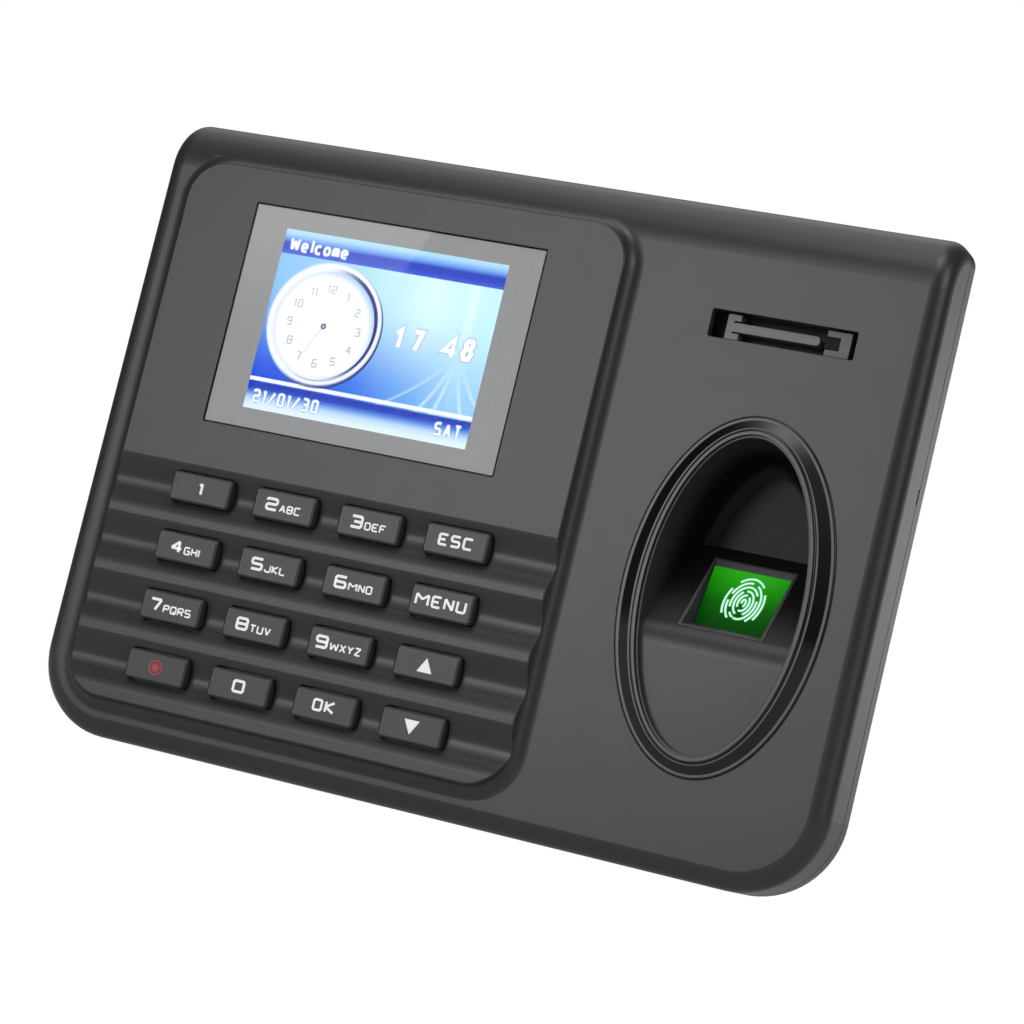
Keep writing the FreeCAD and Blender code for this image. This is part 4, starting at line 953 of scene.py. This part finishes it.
def draw_number(sheet, digit, letters, back):
    """Large digit with small letters after it, centred together."""
    wide = text_width(digit, DIGIT_W, DIGIT_STROKE, 0)
    if letters:
        wide += DIGIT_GAP + text_width(letters, LETTER_W, LETTER_STROKE, LETTER_GAP)
    foot = -(DIGIT_H + DIGIT_STROKE) / 2 + DIGIT_RISE
    x = sheet.text(digit, -wide / 2, foot, DIGIT_H, DIGIT_W, DIGIT_STROKE, INK_T, 0, back)
    if letters:
        x += DIGIT_GAP
        sheet.text(letters, x, foot, LETTER_H, LETTER_W, LETTER_STROKE, INK_T, LETTER_GAP, back)


# ---------------------------------------------------------------- sensor icon

def glass_plane():
    """Centre of the finger plate's open face, its upward direction and its normal."""
    glass_mesh = frame["nodes"]["sensor_glass"].data
    lean = {}
    for face in glass_mesh.polygons:
        if face.normal.y < -0.1 and abs(face.normal.x) < 0.1:
            key = round(face.normal.z, 1)
            lean.setdefault(key, []).append(face)
    faces = max(lean.values(), key=lambda group: sum(face.area for face in group))
    area = sum(face.area for face in faces)
    centre = sum((face.center * face.area for face in faces), Vector()) / area
    normal = faces[0].normal.copy()
    return centre, normal.cross(Vector((1, 0, 0))), normal


def leaning_arc(half, start, stop):
    """Points on an ellipse that leans to the right, between two angles in degrees."""
    count = max(4, int((stop - start) / 8))
    points = []
    for i in range(count + 1):
        turn = math.radians(start + (stop - start) * i / count)
        lean = ICON_LEAN * half[1] * math.sin(turn)
        points.append((half[0] * math.cos(turn) + lean, half[1] * math.sin(turn)))
    return points


def build_icon():
    """Whorl of nested arcs on the finger plate."""
    centre, up, normal = glass_plane()
    if up.z < 0:
        up = -up

    def on_glass(u, v, height):
        return centre + (Vector((1, 0, 0)) * u + up * v + normal * height) * MM

    light = glowing("icon_light", 0.8, tone(205, 255, 235), tone(235, 255, 250))
    halo = glowing("icon_halo", 1.5, tone(40, 170, 60), tone(70, 200, 110))
    layers = [("icon_halo", HALO_STROKE, HALO_HEIGHTS, halo),
              ("icon_lines", ICON_STROKE, ICON_HEIGHTS, light)]
    for name, width, (low, high), material in layers:
        sheet = Sheet(on_glass)
        for ring, pieces in enumerate(ICON_ARCS):
            half = (ICON_CORE[0] + ICON_STEP[0] * ring, ICON_CORE[1] + ICON_STEP[1] * ring)
            for start, stop in pieces:
                sheet.stroke(leaning_arc(half, start, stop), width, low, high)
        sheet.finish(name, material, "terminal")


# ---------------------------------------------------------------- rear label

def build_label_lines():
    """Empty form printed on the rear label: a frame and a few rules."""
    low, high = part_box("rating_label")
    middle = Vector(((low[0] + high[0]) / 2, high[1], (low[2] + high[2]) / 2))
    half_w = (high[0] - low[0]) / MM / 2 - LABEL_MARGIN
    half_h = (high[2] - low[2]) / MM / 2 - LABEL_MARGIN
    sheet = Sheet(lambda u, v, height: middle + Vector((u, height, v)) * MM)
    frame_line = rectangle(-half_w, half_w, -half_h, half_h)
    sheet.stroke(frame_line + frame_line[:1], LABEL_FRAME_STROKE, -0.01, 0.01)
    reach = half_w - LABEL_RULE_INDENT
    for share in LABEL_RULES:
        sheet.stroke([(-reach, share * half_h), (reach, share * half_h)], LABEL_RULE_STROKE, -0.01, 0.012)
    ink = plastic("label_ink", (0.03, 0.03, 0.035, 1), 0.5, edge=0.02)
    sheet.finish("label_lines", ink, "terminal")


# ---------------------------------------------------------------- studio

def build_floor():
    """Pale floor just under the case; it shows white and sends a little light upwards."""
    height = cad_box[0][2] - FLOOR_DROP * MM
    mesh = bmesh.new()
    bmesh.ops.create_grid(mesh, x_segments=8, y_segments=8, size=FLOOR_HALF * MM)
    data = bpy.data.meshes.new("floor")
    mesh.to_mesh(data)
    mesh.free()
    floor = bpy.data.objects.new("floor", data)
    floor.location = (0, 0, height)
    bpy.context.scene.collection.objects.link(floor)
    made = Surface("floor_paint")
    haze = made.noise(0.2, 2.0)
    seen = made.add("LightPath").outputs["Is Camera Ray"]
    shade = made.add("BsdfDiffuse", {"Color": made.mix(haze, (0.16, 0.16, 0.16, 1), (0.17, 0.17, 0.17, 1))})
    white = made.add("Emission", {"Color": (1, 1, 1, 1), "Strength": FLOOR_WHITE})
    glow = made.add("Emission", {"Color": (1, 1, 1, 1), "Strength": FLOOR_GLOW})
    shown_white = made.add("AddShader", {0: shade.outputs[0], 1: white.outputs[0]})
    giving_light = made.add("AddShader", {0: shade.outputs[0], 1: glow.outputs[0]})
    both = {0: seen, 1: giving_light.outputs[0], 2: shown_white.outputs[0]}
    made.surface(made.add("MixShader", both).outputs[0])
    data.materials.append(made.material)


def build_world():
    """White seen directly; soft round lights for everything else."""
    world = bpy.data.worlds.new("studio")
    bpy.context.scene.world = world
    world.use_nodes = True
    made = Nodes(world.node_tree)
    way = made.add("TexCoord").outputs["Generated"]
    total = 0.0
    for azimuth, height, half_width, strength in LIGHTS.values():
        turn, rise = math.radians(azimuth), math.radians(height)
        toward = Vector((math.sin(turn) * math.cos(rise), -math.cos(turn) * math.cos(rise), math.sin(rise)))
        facing = made.add("VectorMath", {0: way, 1: toward}, operation="DOT_PRODUCT").outputs["Value"]
        sharp = math.log(2) / (1 - math.cos(math.radians(half_width)))
        fall = made.math("EXPONENT", made.math("MULTIPLY", made.math("SUBTRACT", facing, 1.0), sharp))
        total = made.math("ADD", made.math("MULTIPLY", fall, strength), total)
    background = world.node_tree.nodes["Background"]
    seen = made.add("LightPath").outputs["Is Camera Ray"]
    level = made.add("Mix", {0: seen, 2: total, 3: 1.0}, data_type="FLOAT").outputs[0]
    made.feed(background.inputs["Strength"], level)
    made.feed(background.inputs["Color"], (1, 1, 1, 1))


def build_camera():
    camera = bpy.data.objects.new("camera", bpy.data.cameras.new("camera"))
    camera.data.lens = CAMERA_LENS
    camera.data.sensor_width = CAMERA_SENSOR
    camera.data.clip_start = 0.01
    turn = Matrix.Rotation(CAMERA_YAW, 4, "Z") @ Matrix.Rotation(math.pi / 2 + CAMERA_PITCH, 4, "X")
    turn = turn @ Matrix.Rotation(CAMERA_ROLL, 4, "Z")
    camera.matrix_world = Matrix.Translation(CAMERA_PLACE) @ turn
    bpy.context.scene.collection.objects.link(camera)
    bpy.context.scene.camera = camera


dress_frame(build_materials())
build_display()
build_legends()
build_icon()
build_label_lines()
build_floor()
build_world()
build_camera()
bpy.context.scene.view_settings.view_transform = "Standard"
